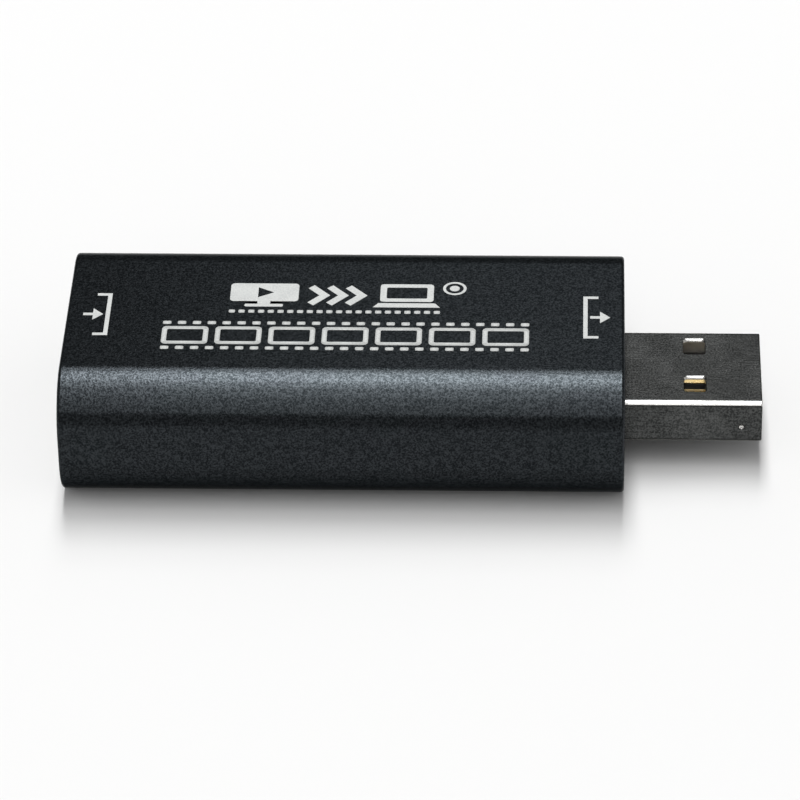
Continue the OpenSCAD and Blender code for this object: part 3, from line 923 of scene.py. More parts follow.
def rounded(corners: Sequence[Point], radius: float, steps: int = 8) -> list[Point]:
    """An outline with each corner as an arc.

    Args:
        corners: The outline's corners, in order.
        radius: Radius of the arcs.
        steps: Edges in each arc.

    Returns:
        Points of the outline.
    """
    points: list[Point] = []
    for index, corner in enumerate(corners):
        here = Vector(corner)
        back = (Vector(corners[index - 1]) - here).normalized()
        ahead = (Vector(corners[(index + 1) % len(corners)]) - here).normalized()
        half = back.angle(ahead) / 2
        centre = here + (back + ahead).normalized() * radius / math.sin(half)
        first = here + back * radius / math.tan(half) - centre
        sweep = math.copysign(math.pi - 2 * half, -back.cross(ahead))
        for step in range(steps + 1):
            points.append(tuple(centre + Matrix.Rotation(sweep * step / steps, 2) @ first))
    return points


def round_rectangle(width: float, height: float, radius: float, steps: int = 8) -> list[Point]:
    """A rectangle about the origin with round corners."""
    return rounded(rectangle(width, height), radius, steps)


def disc(radius: float, sides: int = 48) -> list[Point]:
    """A round outline about the origin."""
    turns = [math.tau * k / sides for k in range(sides)]
    return [(radius * math.cos(a), radius * math.sin(a)) for a in turns]


def at(outline: Sequence[Point], x: float, y: float) -> list[Point]:
    """An outline moved to a place."""
    return [(px + x, py + y) for px, py in outline]


def grown(corners: Sequence[Point], distance: float) -> list[Point]:
    """A convex outline that is moved outwards.

    Args:
        corners: Its corners, counter-clockwise.
        distance: How far each side moves.

    Returns:
        The new corners.
    """
    made: list[Point] = []
    for index, corner in enumerate(corners):
        before = (Vector(corner) - Vector(corners[index - 1])).normalized()
        after = (Vector(corners[(index + 1) % len(corners)]) - Vector(corner)).normalized()
        first = Vector((before.y, -before.x))
        second = Vector((after.y, -after.x))
        made.append(tuple(Vector(corner) + (first + second) * distance / (1 + first.dot(second))))
    return made


def stroke(points: Sequence[Point], width: float) -> list[Point]:
    """The outline of a line of even width with square ends and mitred bends.

    Args:
        points: The line's middle, from end to end.
        width: Width of the line.

    Returns:
        A closed outline.
    """
    left: list[Point] = []
    right: list[Point] = []
    for index, point in enumerate(points):
        here = Vector(point)
        before = (here - Vector(points[max(index - 1, 0)])).normalized()
        after = (Vector(points[min(index + 1, len(points) - 1)]) - here).normalized()
        before = before if before.length > 0 else after
        after = after if after.length > 0 else before
        first = Vector((-before.y, before.x))
        second = Vector((-after.y, after.x))
        out = (first + second) * width / 2 / (1 + first.dot(second))
        left.append(tuple(here + out))
        right.append(tuple(here - out))
    return right + left[::-1]


# Rules of shape


class Rule:
    """A Geometry Nodes tree with named sizes, run once for each mesh that follows it."""

    title = "rule"
    sizes: tuple[str, ...] = ()
    counts: tuple[str, ...] = ()
    usual: dict[str, float] = {}

    def __init__(self) -> None:
        """Makes the tree's named inputs and wires it."""
        self.tree = bpy.data.node_groups.new(self.title, "GeometryNodeTree")
        face = self.tree.interface
        face.new_socket("Mesh", in_out="OUTPUT", socket_type="NodeSocketGeometry")
        face.new_socket("Guide", in_out="INPUT", socket_type="NodeSocketGeometry")
        kinds = {name: "NodeSocketFloat" for name in self.sizes}
        kinds.update({name: "NodeSocketInt" for name in self.counts})
        kinds["Finish"] = "NodeSocketMaterial"
        self.keys = {
            name: face.new_socket(name, in_out="INPUT", socket_type=kind).identifier
            for name, kind in kinds.items()
        }
        self.graph = Graph(self.tree)
        self.given = self.graph.node("NodeGroupInput")
        whole = self.graph.node("GeometryNodeRealizeInstances", {}, {"Geometry": self.shape()})
        smooth = self.graph.node("GeometryNodeSetShadeSmooth", {}, {"Geometry": whole})
        inputs = {"Geometry": smooth, "Material": self.given["Finish"]}
        dressed = self.graph.node("GeometryNodeSetMaterial", {}, inputs)
        self.graph.node("NodeGroupOutput", {}, {"Mesh": dressed})

    def shape(self) -> Signal:
        """The geometry that the rule makes, which each kind gives."""
        raise NotImplementedError

    def run(self, guide: Mesh, finish: Finish, sizes: dict[str, float]) -> Mesh:
        """Follows the rule once.

        Args:
            guide: The mesh that the rule starts from.
            finish: The finish of what it makes.
            sizes: Values of the named inputs that aren't the usual ones.

        Returns:
            A plain mesh with its faces outwards.
        """
        with on_bench(guide) as holder:
            modifier = holder.modifiers.new(self.title, "NODES")
            modifier.node_group = self.tree
            for name, value in {**self.usual, **sizes}.items():
                modifier[self.keys[name]] = value
            modifier[self.keys["Finish"]] = finish.material()
            made = settled(holder)
        return closed(made)

    def vector(self, x: Value = 0.0, y: Value = 0.0, z: Value = 0.0) -> Signal:
        """A vector of three values."""
        return self.graph.node("ShaderNodeCombineXYZ", {}, {"X": x, "Y": y, "Z": z})

    def fillet(self, curve: Signal, radius: Value, steps: Value) -> Signal:
        """A curve with round corners."""
        inputs = {"Curve": curve, "Count": steps, "Radius": radius, "Limit Radius": True}
        return self.graph.node("GeometryNodeFilletCurve", {"mode": "POLY"}, inputs)


class SheetTube(Rule):
    """A wall of even thickness that follows a closed outline, with rounded rims at both ends."""

    title = "sheet_tube"
    sizes = ("Bend", "Thickness", "Depth", "Outer Rim", "Inner Rim")
    counts = ("Bend Steps", "Rim Steps")

    def shape(self) -> Signal:
        """The wall's section, swept round the outline that guides it.

        Returns:
            The swept wall.
        """
        graph = self.graph
        given = self.given
        outline = graph.node("GeometryNodeMeshToCurve", {}, {"Mesh": given["Guide"]})
        path = self.fillet(outline, given["Bend"], given["Bend Steps"])
        inputs = {"Width": given["Thickness"], "Height": given["Depth"]}
        section = graph.node("GeometryNodeCurvePrimitiveQuadrilateral", {}, inputs)
        across = graph.parts(graph.node("GeometryNodeInputPosition"))
        outside = across > 0.0
        rim = given["Outer Rim"] * outside + given["Inner Rim"] * (1.0 - outside)
        softened = self.fillet(section, rim, given["Rim Steps"])
        inwards = self.vector(x=given["Thickness"] * -0.5)
        inputs = {"Geometry": softened, "Translation": inwards}
        seated = graph.node("GeometryNodeTransform", {}, inputs)
        return graph.node("GeometryNodeCurveToMesh", {}, {"Curve": path, "Profile Curve": seated})


class StripRow(Rule):
    """Bent strips in a row across Y, repeated on each side of a body."""

    title = "strip_row"
    sizes = ("Bend", "Thickness", "Width", "Tail Width", "Shoulder", "Shoulder Length", "Pitch", "Edge")
    counts = ("Count", "Sides", "Bend Steps")
    usual = {
        "Bend": 0.0,
        "Bend Steps": 1,
        "Shoulder": 0.0,
        "Shoulder Length": MM,
        "Pitch": MM,
        "Count": 1,
        "Sides": 1,
    }

    def shape(self) -> Signal:
        """One strip swept along its guide, narrowed at its tail, then placed in rows.

        Returns:
            Instances of the strip.
        """
        graph = self.graph
        given = self.given
        line = graph.node("GeometryNodeMeshToCurve", {}, {"Mesh": given["Guide"]})
        path = self.fillet(line, given["Bend"], given["Bend Steps"])
        inputs = {"Width": given["Width"], "Height": given["Thickness"]}
        section = graph.node("GeometryNodeCurvePrimitiveQuadrilateral", {}, inputs)
        softened = self.fillet(section, given["Edge"], 2)
        inputs = {"Curve": path, "Profile Curve": softened, "Fill Caps": True}
        strip = graph.node("GeometryNodeCurveToMesh", {}, inputs)
        spot = graph.parts(graph.node("GeometryNodeInputPosition"))
        neck_end = given["Shoulder"] + given["Shoulder Length"]
        neck = graph.ramp(spot["X"], given["Shoulder"], neck_end)
        share = 1.0 - neck * (1.0 - given["Tail Width"] / given["Width"])
        inputs = {"Geometry": strip, "Position": self.vector(spot["X"], spot["Y"] * share, spot["Z"])}
        necked = graph.node("GeometryNodeSetPosition", {}, inputs)
        first = self.vector(y=given["Pitch"] * (given["Count"] - 1.0) * -0.5)
        inputs = {"Count": given["Count"], "Start Location": first, "Offset": self.vector(y=given["Pitch"])}
        places = graph.node("GeometryNodeMeshLine", {}, inputs)
        row = graph.node("GeometryNodeInstanceOnPoints", {}, {"Points": places, "Instance": necked})
        inputs = {"Count": given["Sides"], "Offset": self.vector()}
        sides = graph.node("GeometryNodeMeshLine", {}, inputs)
        turn = graph.node("GeometryNodeInputIndex") * (math.tau / given["Sides"])
        about = graph.node("FunctionNodeEulerToRotation", {}, {"Euler": self.vector(z=turn)})
        inputs = {"Points": sides, "Instance": row, "Rotation": about}
        return graph.node("GeometryNodeInstanceOnPoints", {}, inputs)


class Copies(Rule):
    """Copies of one shape in even columns along X and rows along Y, about the origin."""

    title = "copies"
    sizes = ("Column Pitch", "Row Pitch")
    counts = ("Columns", "Rows")
    usual = {"Column Pitch": MM, "Row Pitch": MM, "Columns": 1, "Rows": 1}

    def shape(self) -> Signal:
        """The guide's own mesh on each point of a grid.

        Returns:
            Instances of the guide.
        """
        graph = self.graph
        given = self.given
        inputs = {
            "Size X": given["Column Pitch"] * (given["Columns"] - 1.0),
            "Size Y": given["Row Pitch"] * (given["Rows"] - 1.0),
            "Vertices X": given["Columns"],
            "Vertices Y": given["Rows"],
        }
        grid = graph.node("GeometryNodeMeshGrid", {}, inputs)
        inputs = {"Points": grid, "Instance": given["Guide"]}
        return graph.node("GeometryNodeInstanceOnPoints", {}, inputs)


@dataclass
class Rules:
    """The rules of shape that the sub-assemblies share."""

    tube: SheetTube
    strips: StripRow
    copies: Copies


# Pieces


@dataclass
class Piece:
    """One dressed piece: its mesh and finish, its body and the solids that it stands for."""

    name: str
    mesh: Mesh
    finish: Finish
    slot: Slot
    replaces: tuple[str, ...] = ()
    body: str = CASE

    def place(self) -> bpy.types.Object:
        """Puts the piece on its body.

        Returns:
            The finished object.
        """
        self.mesh.materials.clear()
        self.mesh.materials.append(self.finish.material())
        made = bpy.data.objects.new(self.name, self.mesh)
        self.mesh.name = self.name
        bpy.context.scene.collection.objects.link(made)
        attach(made, self.body)
        if self.replaces:
            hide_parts(*self.replaces)
        LOG.info("%s: %d faces on %s", self.name, len(self.mesh.polygons), self.body)
        return made


def stood_on(node: str, mesh: Mesh) -> Mesh:
    """A mesh about the origin, stood on the floor of a solid's box and shaded.

    Args:
        node: Name of the solid.
        mesh: The mesh to place.

    Returns:
        A new mesh.
    """
    low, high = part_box(node)
    middle = (low + high) / 2
    return eased(shifted(mesh, middle.x, middle.y, low.z))


def bent_path(start: float, end: float, top: float, foot: float, thickness: float, run: float) -> list:
    """The middle of a strip that runs level, turns down and ends in a foot.

    Args:
        start: X where the strip starts.
        end: X where its foot ends.
        top: Height of its upper face.
        foot: Height that it stands on.
        thickness: Thickness of the strip.
        run: Length of the foot.

    Returns:
        Points in the XZ plane.
    """
    turn = end - math.copysign(run + thickness / 2, end - start)
    upper = top - thickness / 2
    lower = foot + thickness / 2
    return [(start, 0.0, upper), (turn, 0.0, upper), (turn, 0.0, lower), (end, 0.0, lower)]


def leg_pair(x: float, width: float, outer: float, sheet: float, foot: float, top: float) -> list[Mesh]:
    """Two legs that go on down from the side walls of a folded shell.

    Args:
        x: Middle of the legs.
        width: Width of a leg.
        outer: Y of a wall's outer face.
        sheet: Thickness of the wall.
        foot: Height of the legs' ends.
        top: Height where they end inside the wall.

    Returns:
        Two closed bars.
    """
    half = width / 2
    legs = []
    for side in (-1, 1):
        near, far = sorted((side * (outer - HAIR), side * (outer - sheet + HAIR)))
        legs.append(block((x - half, near, foot), (x + half, far, top)))
    return legs


@dataclass
class Sleeve:
    """The extruded sleeve, with rails for the board and grooves for the caps' nibs."""

    rules: Rules
    edge_radius: float = 5.0 * MM
    edge_steps: int = 24
    wall: float = 1.1 * MM
    end_round: float = 0.3 * MM
    inner_round: float = 0.12 * MM
    round_steps: int = 4
    rail_inset: float = 2.0 * MM
    rail_y: float = 9.6 * MM
    ledge_root: float = 0.88 * MM
    ledge_reach: float = 1.4 * MM
    lip_reach: float = 3.0 * MM
    lip_height: float = 0.8 * MM
    rail_clearance: float = 0.08 * MM
    nib_clearance: float = 0.05 * MM

    def build(self, caps: "Caps") -> list[Piece]:
        """Sweeps the wall, then adds the rails and cuts the grooves.

        Args:
            caps: The caps, whose nibs need grooves.

        Returns:
            The sleeve.
        """
        low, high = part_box("housing_sleeve")
        size = high - low
        middle = (low + high) / 2
        finish = BlastedAnodising("blasted_anodising", middle=middle.x, half_length=size.x / 2)
        sizes = {
            "Bend": self.edge_radius,
            "Bend Steps": self.edge_steps,
            "Thickness": self.wall,
            "Depth": size.x,
            "Outer Rim": self.end_round,
            "Inner Rim": self.inner_round,
            "Rim Steps": self.round_steps,
        }
        outline = polyline(rectangle(size.y, size.z), loop=True)
        wall = moved(self.rules.tube.run(outline, finish, sizes), along_x(*middle))
        railed = combined(wall, self.rails(low.x + self.rail_inset, high.x - self.rail_inset), Join.ADD)
        grooves = [nib for node in caps.nodes for nib in caps.nibs(node, self.nib_clearance)]
        mesh = eased(combined(railed, grooves, Join.CUT))
        return [Piece("blasted_sleeve", mesh, finish, Slot.ANODISED, ("housing_sleeve",))]

    def rails(self, start: float, end: float) -> list[Mesh]:
        """Ledges under the board's edges and lips over them.

        Args:
            start: X of one end of the rails.
            end: X of the other end.

        Returns:
            Four closed bars that reach into the wall.
        """
        board_low, board_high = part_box("circuit_board")
        ledge_top = board_low.z - self.rail_clearance
        lip_foot = board_high.z + self.rail_clearance
        bars = []
        for side in (-1, 1):
            inner = side * self.rail_y
            ledge_y = sorted((inner, inner + side * self.ledge_reach))
            lip_y = sorted((inner, inner + side * self.lip_reach))
            bars.append(block((start, ledge_y[0], self.ledge_root), (end, ledge_y[1], ledge_top)))
            bars.append(block((start, lip_y[0], lip_foot), (end, lip_y[1], lip_foot + self.lip_height)))
        return bars


@dataclass
class Caps:
    """The two moulded end caps, each round a connector and held by two nibs."""

    nodes: tuple[str, str] = ("input_end_cap", "output_end_cap")
    height: float = 10.5 * MM
    corner_radius: float = 3.85 * MM
    corner_steps: int = 16
    edge: float = 0.12 * MM
    nib_radius: float = 0.3 * MM
    nib_length: float = 8.0 * MM
    nib_out: float = 0.2 * MM

    def nibs(self, node: str, clearance: float) -> list[Mesh]:
        """The round nibs above and below a cap.

        Args:
            node: Name of the cap's solid.
            clearance: How much larger than the nibs the bars are.

        Returns:
            Two round bars.
        """
        low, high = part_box(node)
        middle = (low + high) / 2
        reach = self.height / 2 + self.nib_out - self.nib_radius
        half = self.nib_length / 2 + clearance
        bars = []
        for side in (-1, 1):
            z = middle.z + side * reach
            bars.append(rod((middle.x, -half, z), (middle.x, half, z), self.nib_radius + clearance))
        return bars

    def build(self, openings: dict[str, list[Point]]) -> list[Piece]:
        """Makes both caps.

        Args:
            openings: The outline round each cap's connector, in Y and Z from the origin.

        Returns:
            The two caps.
        """
        finish = MouldedPlastic("cap_moulding")
        pieces = []
        for node in self.nodes:
            low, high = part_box(node)
            middle = (low + high) / 2
            outer = round_rectangle(high.y - low.y, self.height, self.corner_radius, self.corner_steps)
            hole = at(openings[node], 0.0, -middle.z)
            body = plate([outer, hole[::-1]], high.x - low.x, self.edge)
            body = moved(body, along_x(middle.x, 0.0, middle.z))
            mesh = eased(combined(body, self.nibs(node, 0.0), Join.ADD))
            name = node.replace("_end_cap", "_cap_moulding")
            pieces.append(Piece(name, mesh, finish, Slot.CAP, (node,)))
        return pieces


@dataclass
class SerialPlug:
    """The folded shell, its moulding and its four contacts."""

    rules: Rules
    shell_height: float = 4.5 * MM
    bend: float = 0.6 * MM
    bend_steps: int = 10
    sheet: float = 0.3 * MM
    tip_rim: float = 0.12 * MM
    inner_rim: float = 0.05 * MM
    rim_steps: int = 4
    window_length: float = 2.15 * MM
    window_width: float = 2.75 * MM
    window_corner: float = 0.3 * MM
    window_in: float = 5.13 * MM
    window_y: float = 3.1 * MM
    window_shift: float = 0.28 * MM
    roll_radius: float = 0.36 * MM
    roll_start: float = math.radians(12)
    roll_end: float = math.radians(68)
    roll_steps: int = 10
    roll_at_ends: float = 0.3
    dimple_in: float = 1.9 * MM
    dimple_drop: float = 0.45 * MM
    dimple_radius: float = 0.3 * MM
    dimple_depth: float = 0.18 * MM
    seam: float = 0.06 * MM
    key_length: float = 1.6 * MM
    key_y: float = 0.9 * MM
    keys_in: tuple[float, float] = (4.0 * MM, 10.0 * MM)
    leg_width: float = 0.9 * MM
    contact_thickness: float = 0.25 * MM
    contact_width: float = 1.0 * MM
    contact_foot: float = 0.9 * MM
    contact_bend: float = 0.2 * MM
    contact_edge: float = 0.05 * MM
    clearance: float = 0.1 * MM

    def middle_z(self) -> float:
        """Height of the shell's middle."""
        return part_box("plug_shell")[1].z - self.shell_height / 2

    def opening(self) -> list[Point]:
        """The outline that a cap leaves free for the shell.

        Returns:
            Points in Y and Z.
        """
        low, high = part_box("plug_shell")
        width = high.y - low.y + 2 * self.clearance
        height = self.shell_height + 2 * self.clearance
        return at(round_rectangle(width, height, self.bend + self.clearance), 0.0, self.middle_z())

    def build(self) -> list[Piece]:
        """Makes the shell, the moulding and the contacts.

        Returns:
            The plug's pieces.
        """
        low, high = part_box("plug_shell")
        # The plug keeps the plating's dark default colours: painted shade, far darker than the socket's and
        # springs' nickel
        plating = PlatedSheet(
            "plug_plating",
            low_gleam=(0.3, 0.3, 0.3),
            tube_width=high.y - low.y,
            tube_height=self.shell_height,
            tube_z=self.middle_z(),
            tube_sheet=self.sheet,
        )
        resin = MouldedPlastic("plug_resin", spark=0.12 * MM, gloss=0.5, flow_stretch=(0.2, 1.0, 1.0))
        moulding = refined("plug_insulator", MOULDING_EDGE)
        collars = refined("plug_leg_solder", SOLDER_EDGE, 3)
        return [
            Piece("folded_plug_shell", self.shell(plating), plating, Slot.PLUG_PLATE, ("plug_shell",)),
            Piece("plug_moulding", moulding, resin, Slot.INSULATOR, ("plug_insulator",)),
            Piece("plug_solder_collars", collars, TinnedMetal("solder"), Slot.SOLDER, ("plug_leg_solder",)),
            self.contacts("power"),
            self.contacts("data"),
        ]

    def contacts(self, name: str) -> Piece:
        """A pair of contacts along the tongue.

        Args:
            name: Which pair it is.

        Returns:
            The pair.
        """
        finish = GoldFlash("contact_gold_flash")
        node = f"plug_{name}_contacts"
        low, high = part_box(node)
        path = bent_path(high.x, low.x, high.z, low.z, self.contact_thickness, self.contact_foot)
        sizes = {
            "Bend": self.contact_bend,
            "Bend Steps": 6,
            "Thickness": self.contact_thickness,
            "Width": self.contact_width,
            "Tail Width": self.contact_width,
            "Pitch": high.y - low.y - self.contact_width,
            "Edge": self.contact_edge,
            "Count": 2,
        }
        mesh = eased(self.rules.strips.run(polyline(path), finish, sizes))
        return Piece(f"{name}_contact_pair", mesh, finish, Slot.GOLD, (node,))

    def shell(self, finish: Finish) -> Mesh:
        """The folded tube with its windows, dimples, seam and legs.

        Args:
            finish: The shell's finish.

        Returns:
            A closed mesh.
        """
        low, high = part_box("plug_shell")
        middle = self.middle_z()
        sizes = {
            "Bend": self.bend,
            "Bend Steps": self.bend_steps,
            "Thickness": self.sheet,
            "Depth": high.x - low.x,
            "Outer Rim": self.tip_rim,
            "Inner Rim": self.inner_rim,
            "Rim Steps": self.rim_steps,
        }
        outline = polyline(rectangle(high.y - low.y, self.shell_height), loop=True)
        tube = self.rules.tube.run(outline, finish, sizes)
        tube = moved(tube, along_x((low.x + high.x) / 2, 0.0, middle))
        cutters = [*self.windows(high.x), *self.dimples(high), self.seam_cutter(low.x, high.x)]
        leg_x = (low.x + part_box("circuit_board")[1].x) / 2
        legs = leg_pair(leg_x, self.leg_width, high.y, self.sheet, low.z, middle)
        return eased(combined(combined(tube, cutters, Join.CUT), legs, Join.ADD))

    def windows(self, tip: float) -> list[Mesh]:
        """Cutters for the windows in the upper and lower sheet, with rims rolled inwards by a punch.

        Args:
            tip: X of the plug's tip.

        Returns:
            Two closed cutters, each through both sheets.
        """
        half = self.shell_height / 2
        rings = [(-half - MM, 0.0)]
        for step in range(self.roll_steps + 1):
            turn = self.roll_start + (self.roll_end - self.roll_start) * step / self.roll_steps
            depth = self.roll_radius * (math.cos(self.roll_start) - math.cos(turn))
            inset = self.roll_radius * (math.sin(turn) - math.sin(self.roll_start))
            rings.append((depth - half, inset))
        rings += [(-z, inset) for z, inset in reversed(rings)]
        outlines = []
        for z, inset in rings:
            length = self.window_length - 2 * inset * self.roll_at_ends
            width = self.window_width - 2 * inset
            outlines.append([(x, y, z) for x, y in round_rectangle(length, width, self.window_corner)])
        x = tip - self.window_in - self.window_length / 2
        places = [self.window_shift + side * self.window_y for side in (-1, 1)]
        return [shifted(lofted(outlines), x, y, self.middle_z()) for y in places]

    def dimples(self, high: Vector) -> list[Mesh]:
        """Balls that leave a dimple in each side.

        Args:
            high: The shell's highest corner.

        Returns:
            Two closed cutters.
        """
        radius = (self.dimple_radius**2 + self.dimple_depth**2) / (2 * self.dimple_depth)
        reach = high.y - self.dimple_depth + radius
        z = self.middle_z() - self.dimple_drop
        return [ball((high.x - self.dimple_in, side * reach, z), radius) for side in (-1, 1)]

    def seam_cutter(self, back: float, tip: float) -> Mesh:
        """A thin cutter along the seam underneath, which steps aside at the keys.

        Args:
            back: X of the shell's back end.
            tip: X of the plug's tip.

        Returns:
            A closed cutter.
        """
        points = [(back - MM, 0.0)]
        for key in self.keys_in:
            near = back + key
            far = near + self.key_length
            points += [(near, 0.0), (near, self.key_y), (far, self.key_y), (far, 0.0)]
        points.append((tip + MM, 0.0))
        cutter = plate([stroke(points, self.seam)], self.sheet * 4)
        return shifted(cutter, 0.0, 0.0, self.middle_z() - self.shell_height / 2)


@dataclass
class VideoSocket:
    """The folded shell with its six springs, the moulded tongue and its nineteen contacts."""

    rules: Rules
    width: float = 14.0 * MM
    height: float = 4.55 * MM
    foot_width: float = 11.2 * MM
    slope_height: float = 1.4 * MM
    bend: float = 0.4 * MM
    bend_steps: int = 8
    sheet: float = 0.3 * MM
    rim: float = 0.1 * MM
    rim_steps: int = 3
    clearance: float = 0.1 * MM
    window_gap: float = 0.25 * MM
    window_corner: float = 0.2 * MM
    spring_length: float = 4.2 * MM
    spring_width: float = 1.5 * MM
    spring_drop: float = 0.45 * MM
    spring_wave: float = math.radians(140)
    spring_steps: int = 28
    spring_heel: float = 0.12 * MM
    spring_edge: float = 0.06 * MM
    contact_thickness: float = 0.2 * MM
    contact_width: float = 0.5 * MM
    contact_pitch: float = 1.0 * MM
    contact_foot: float = 0.9 * MM
    contact_bend: float = 0.15 * MM
    contact_edge: float = 0.04 * MM
    tail_width: float = 0.28 * MM
    neck_length: float = 0.25 * MM
    neck_steps: int = 4
    upper_contacts: int = 10
    lower_contacts: int = 9
    block_in: float = 7.4 * MM
    floor_spare: float = 0.03 * MM
    leg_width: float = 0.9 * MM
    legs_in: tuple[float, float] = (3.0 * MM, 9.0 * MM)

    def floor_z(self) -> float:
        """Height of the opening's floor."""
        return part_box("socket_shell")[1].z - self.sheet - self.height

    def corners(self) -> list[Point]:
        """Corners of the opening.

        Returns:
            Points in Y and Z, counter-clockwise from the lower left.
        """
        foot = self.foot_width / 2
        side = self.width / 2
        bottom = self.floor_z()
        slope = bottom + self.slope_height
        top = bottom + self.height
        return [(-foot, bottom), (foot, bottom), (side, slope), (side, top), (-side, top), (-side, slope)]

    def opening(self) -> list[Point]:
        """The outline that a cap leaves free for the shell, in Y and Z."""
        spare = self.sheet + self.clearance
        return rounded(grown(self.corners(), spare), self.bend + spare)

    def build(self) -> list[Piece]:
        """Makes the shell, springs, moulding and contacts.

        Returns:
            The socket's pieces.
        """
        plating = PlatedSheet(
            "socket_plating",
            dark=(0.46, 0.455, 0.44),
            pale=(0.58, 0.575, 0.56),
            inner=(0.74, 0.73, 0.70),
            inner_dullness=0.2,
            tube_width=self.width + 2 * self.sheet,
            tube_height=self.height + 2 * self.sheet,
            tube_z=self.floor_z() + self.height / 2,
            tube_sheet=self.sheet,
        )
        resin = MouldedPlastic("socket_resin", spark=0.12 * MM, gloss=0.46, flow_stretch=(0.2, 1.0, 1.0))
        moulding = refined("socket_insulator", MOULDING_EDGE)
        collars = refined("socket_leg_solder", SOLDER_EDGE, 3)
        solder = TinnedMetal("solder")
        return [
            Piece("folded_socket_shell", self.shell(plating), plating, Slot.SOCKET_PLATE, ("socket_shell",)),
            Piece("socket_moulding", moulding, resin, Slot.INSULATOR, ("socket_insulator",)),
            Piece("socket_solder_collars", collars, solder, Slot.SOLDER, ("socket_leg_solder",)),
            self.contacts("upper", self.upper_contacts),
            self.contacts("lower", self.lower_contacts),
            *(self.spring(joint) for joint in frame["joints"]),
        ]

    def shell(self, finish: Finish) -> Mesh:
        """The folded tube with the springs' windows, the open floor and the legs.

        Args:
            finish: The shell's finish.

        Returns:
            A closed mesh.
        """
        low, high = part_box("socket_shell")
        sizes = {
            "Bend": self.bend + self.sheet,
            "Bend Steps": self.bend_steps,
            "Thickness": self.sheet,
            "Depth": high.x - low.x,
            "Outer Rim": self.rim,
            "Inner Rim": self.rim,
            "Rim Steps": self.rim_steps,
        }
        outline = polyline(grown(self.corners(), self.sheet), loop=True)
        tube = self.rules.tube.run(outline, finish, sizes)
        tube = moved(tube, along_x((low.x + high.x) / 2, 0.0, 0.0))
        opened = combined(tube, [*self.windows(), self.floor_cutter(low.x, high.x)], Join.CUT)
        top = self.floor_z() + self.slope_height + self.bend
        legs = [
            leg
            for place in self.legs_in
            for leg in leg_pair(low.x + place, self.leg_width, high.y, self.sheet, low.z, top)
        ]
        return eased(combined(opened, legs, Join.ADD))

    def windows(self) -> list[Mesh]:
        """A cutter through the sheet round each spring.

        Returns:
            Six closed cutters.
        """
        length = self.spring_length + self.window_gap + self.sheet / 2
        width = self.spring_width + 2 * self.window_gap
        outline = round_rectangle(length, width, self.window_corner, 5)
        back = Matrix.Translation((self.sheet / 2 - length / 2, 0.0, 0.0))
        return [moved(plate([outline], 3 * self.sheet), self.seat(joint) @ back) for joint in frame["joints"]]

    def seat(self, joint: dict) -> Matrix:
        """The place of a spring that is drawn under an upper wall with its bend at the origin.

        Args:
            joint: The hinge at the spring's bend.

        Returns:
            A turn about X into the spring's own wall, then the move to its bend.
        """
        axis = Vector(joint["axis"])
        turn = Matrix.Rotation(math.atan2(axis.z, axis.y), 4, "X")
        return Matrix.Translation(joint["pos_m"]) @ turn

    def spring(self, joint: dict) -> Piece:
        """One spring on its own body.

        Args:
            joint: The hinge at the spring's bend.

        Returns:
            The spring.
        """
        finish = PlatedSheet("spring_plating", dark=(0.50, 0.495, 0.48), pale=(0.62, 0.615, 0.60))
        path = [(self.spring_heel, 0.0, 0.0)]
        for step in range(self.spring_steps + 1):
            share = step / self.spring_steps
            dip = -self.spring_drop * math.sin(self.spring_wave * share)
            path.append((-self.spring_length * share, 0.0, dip))
        sizes = {
            "Thickness": self.sheet,
            "Width": self.spring_width,
            "Tail Width": self.spring_width,
            "Edge": self.spring_edge,
        }
        blade = moved(self.rules.strips.run(polyline(path), finish, sizes), self.seat(joint))
        body = joint["child"]
        stands_for = (f"socket_{body}",)
        return Piece(f"{body}_blade", eased(blade), finish, Slot.SPRING_PLATE, stands_for, body)

    def floor_cutter(self, front: float, back: float) -> Mesh:
        """A box that opens the shell's floor behind the tongue.

        Args:
            front: X of the shell's mouth.
            back: X of the shell's back end.

        Returns:
            A closed cutter.
        """
        half = self.foot_width / 2 - self.bend
        floor = self.floor_z()
        return block((front + self.block_in, -half, floor - MM), (back + MM, half, floor + self.floor_spare))

    def contacts(self, name: str, count: int) -> Piece:
        """One row of contacts, wide on the tongue and narrow behind it.

        Args:
            name: Which row it is.
            count: Number of contacts in the row.

        Returns:
            The row.
        """
        finish = GoldFlash("contact_gold_flash")
        node = f"socket_{name}_contacts"
        low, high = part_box(node)
        path = bent_path(low.x, high.x, high.z, low.z, self.contact_thickness, self.contact_foot)
        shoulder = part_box("socket_shell")[0].x + self.block_in
        shares = [step / self.neck_steps for step in range(self.neck_steps + 1)]
        path[1:1] = [(shoulder + self.neck_length * share, 0.0, path[0][2]) for share in shares]
        sizes = {
            "Bend": self.contact_bend,
            "Bend Steps": 6,
            "Thickness": self.contact_thickness,
            "Width": self.contact_width,
            "Tail Width": self.tail_width,
            "Shoulder": shoulder,
            "Shoulder Length": self.neck_length,
            "Pitch": self.contact_pitch,
            "Edge": self.contact_edge,
            "Count": count,
        }
        mesh = eased(self.rules.strips.run(polyline(path), finish, sizes))
        return Piece(f"{name}_contact_row", mesh, finish, Slot.GOLD, (node,))


@dataclass(frozen=True)
class LeadRow:
    """Gull-wing leads on the sides of a chip.

    The half is from the chip's middle to the side that the leads leave. The height is to their upper face.
    """

    half: float
    height: float
    width: float
    pitch: float
    count: int
    sides: int = 1


@dataclass(frozen=True)
class SmallRow:
    """Small parts in even columns and rows, with the names of their bodies and of their terminals."""

    bodies: str
    ends: str
    columns: int
    rows: int
    length: float
    width: float
    finish: Finish
    slot: Slot


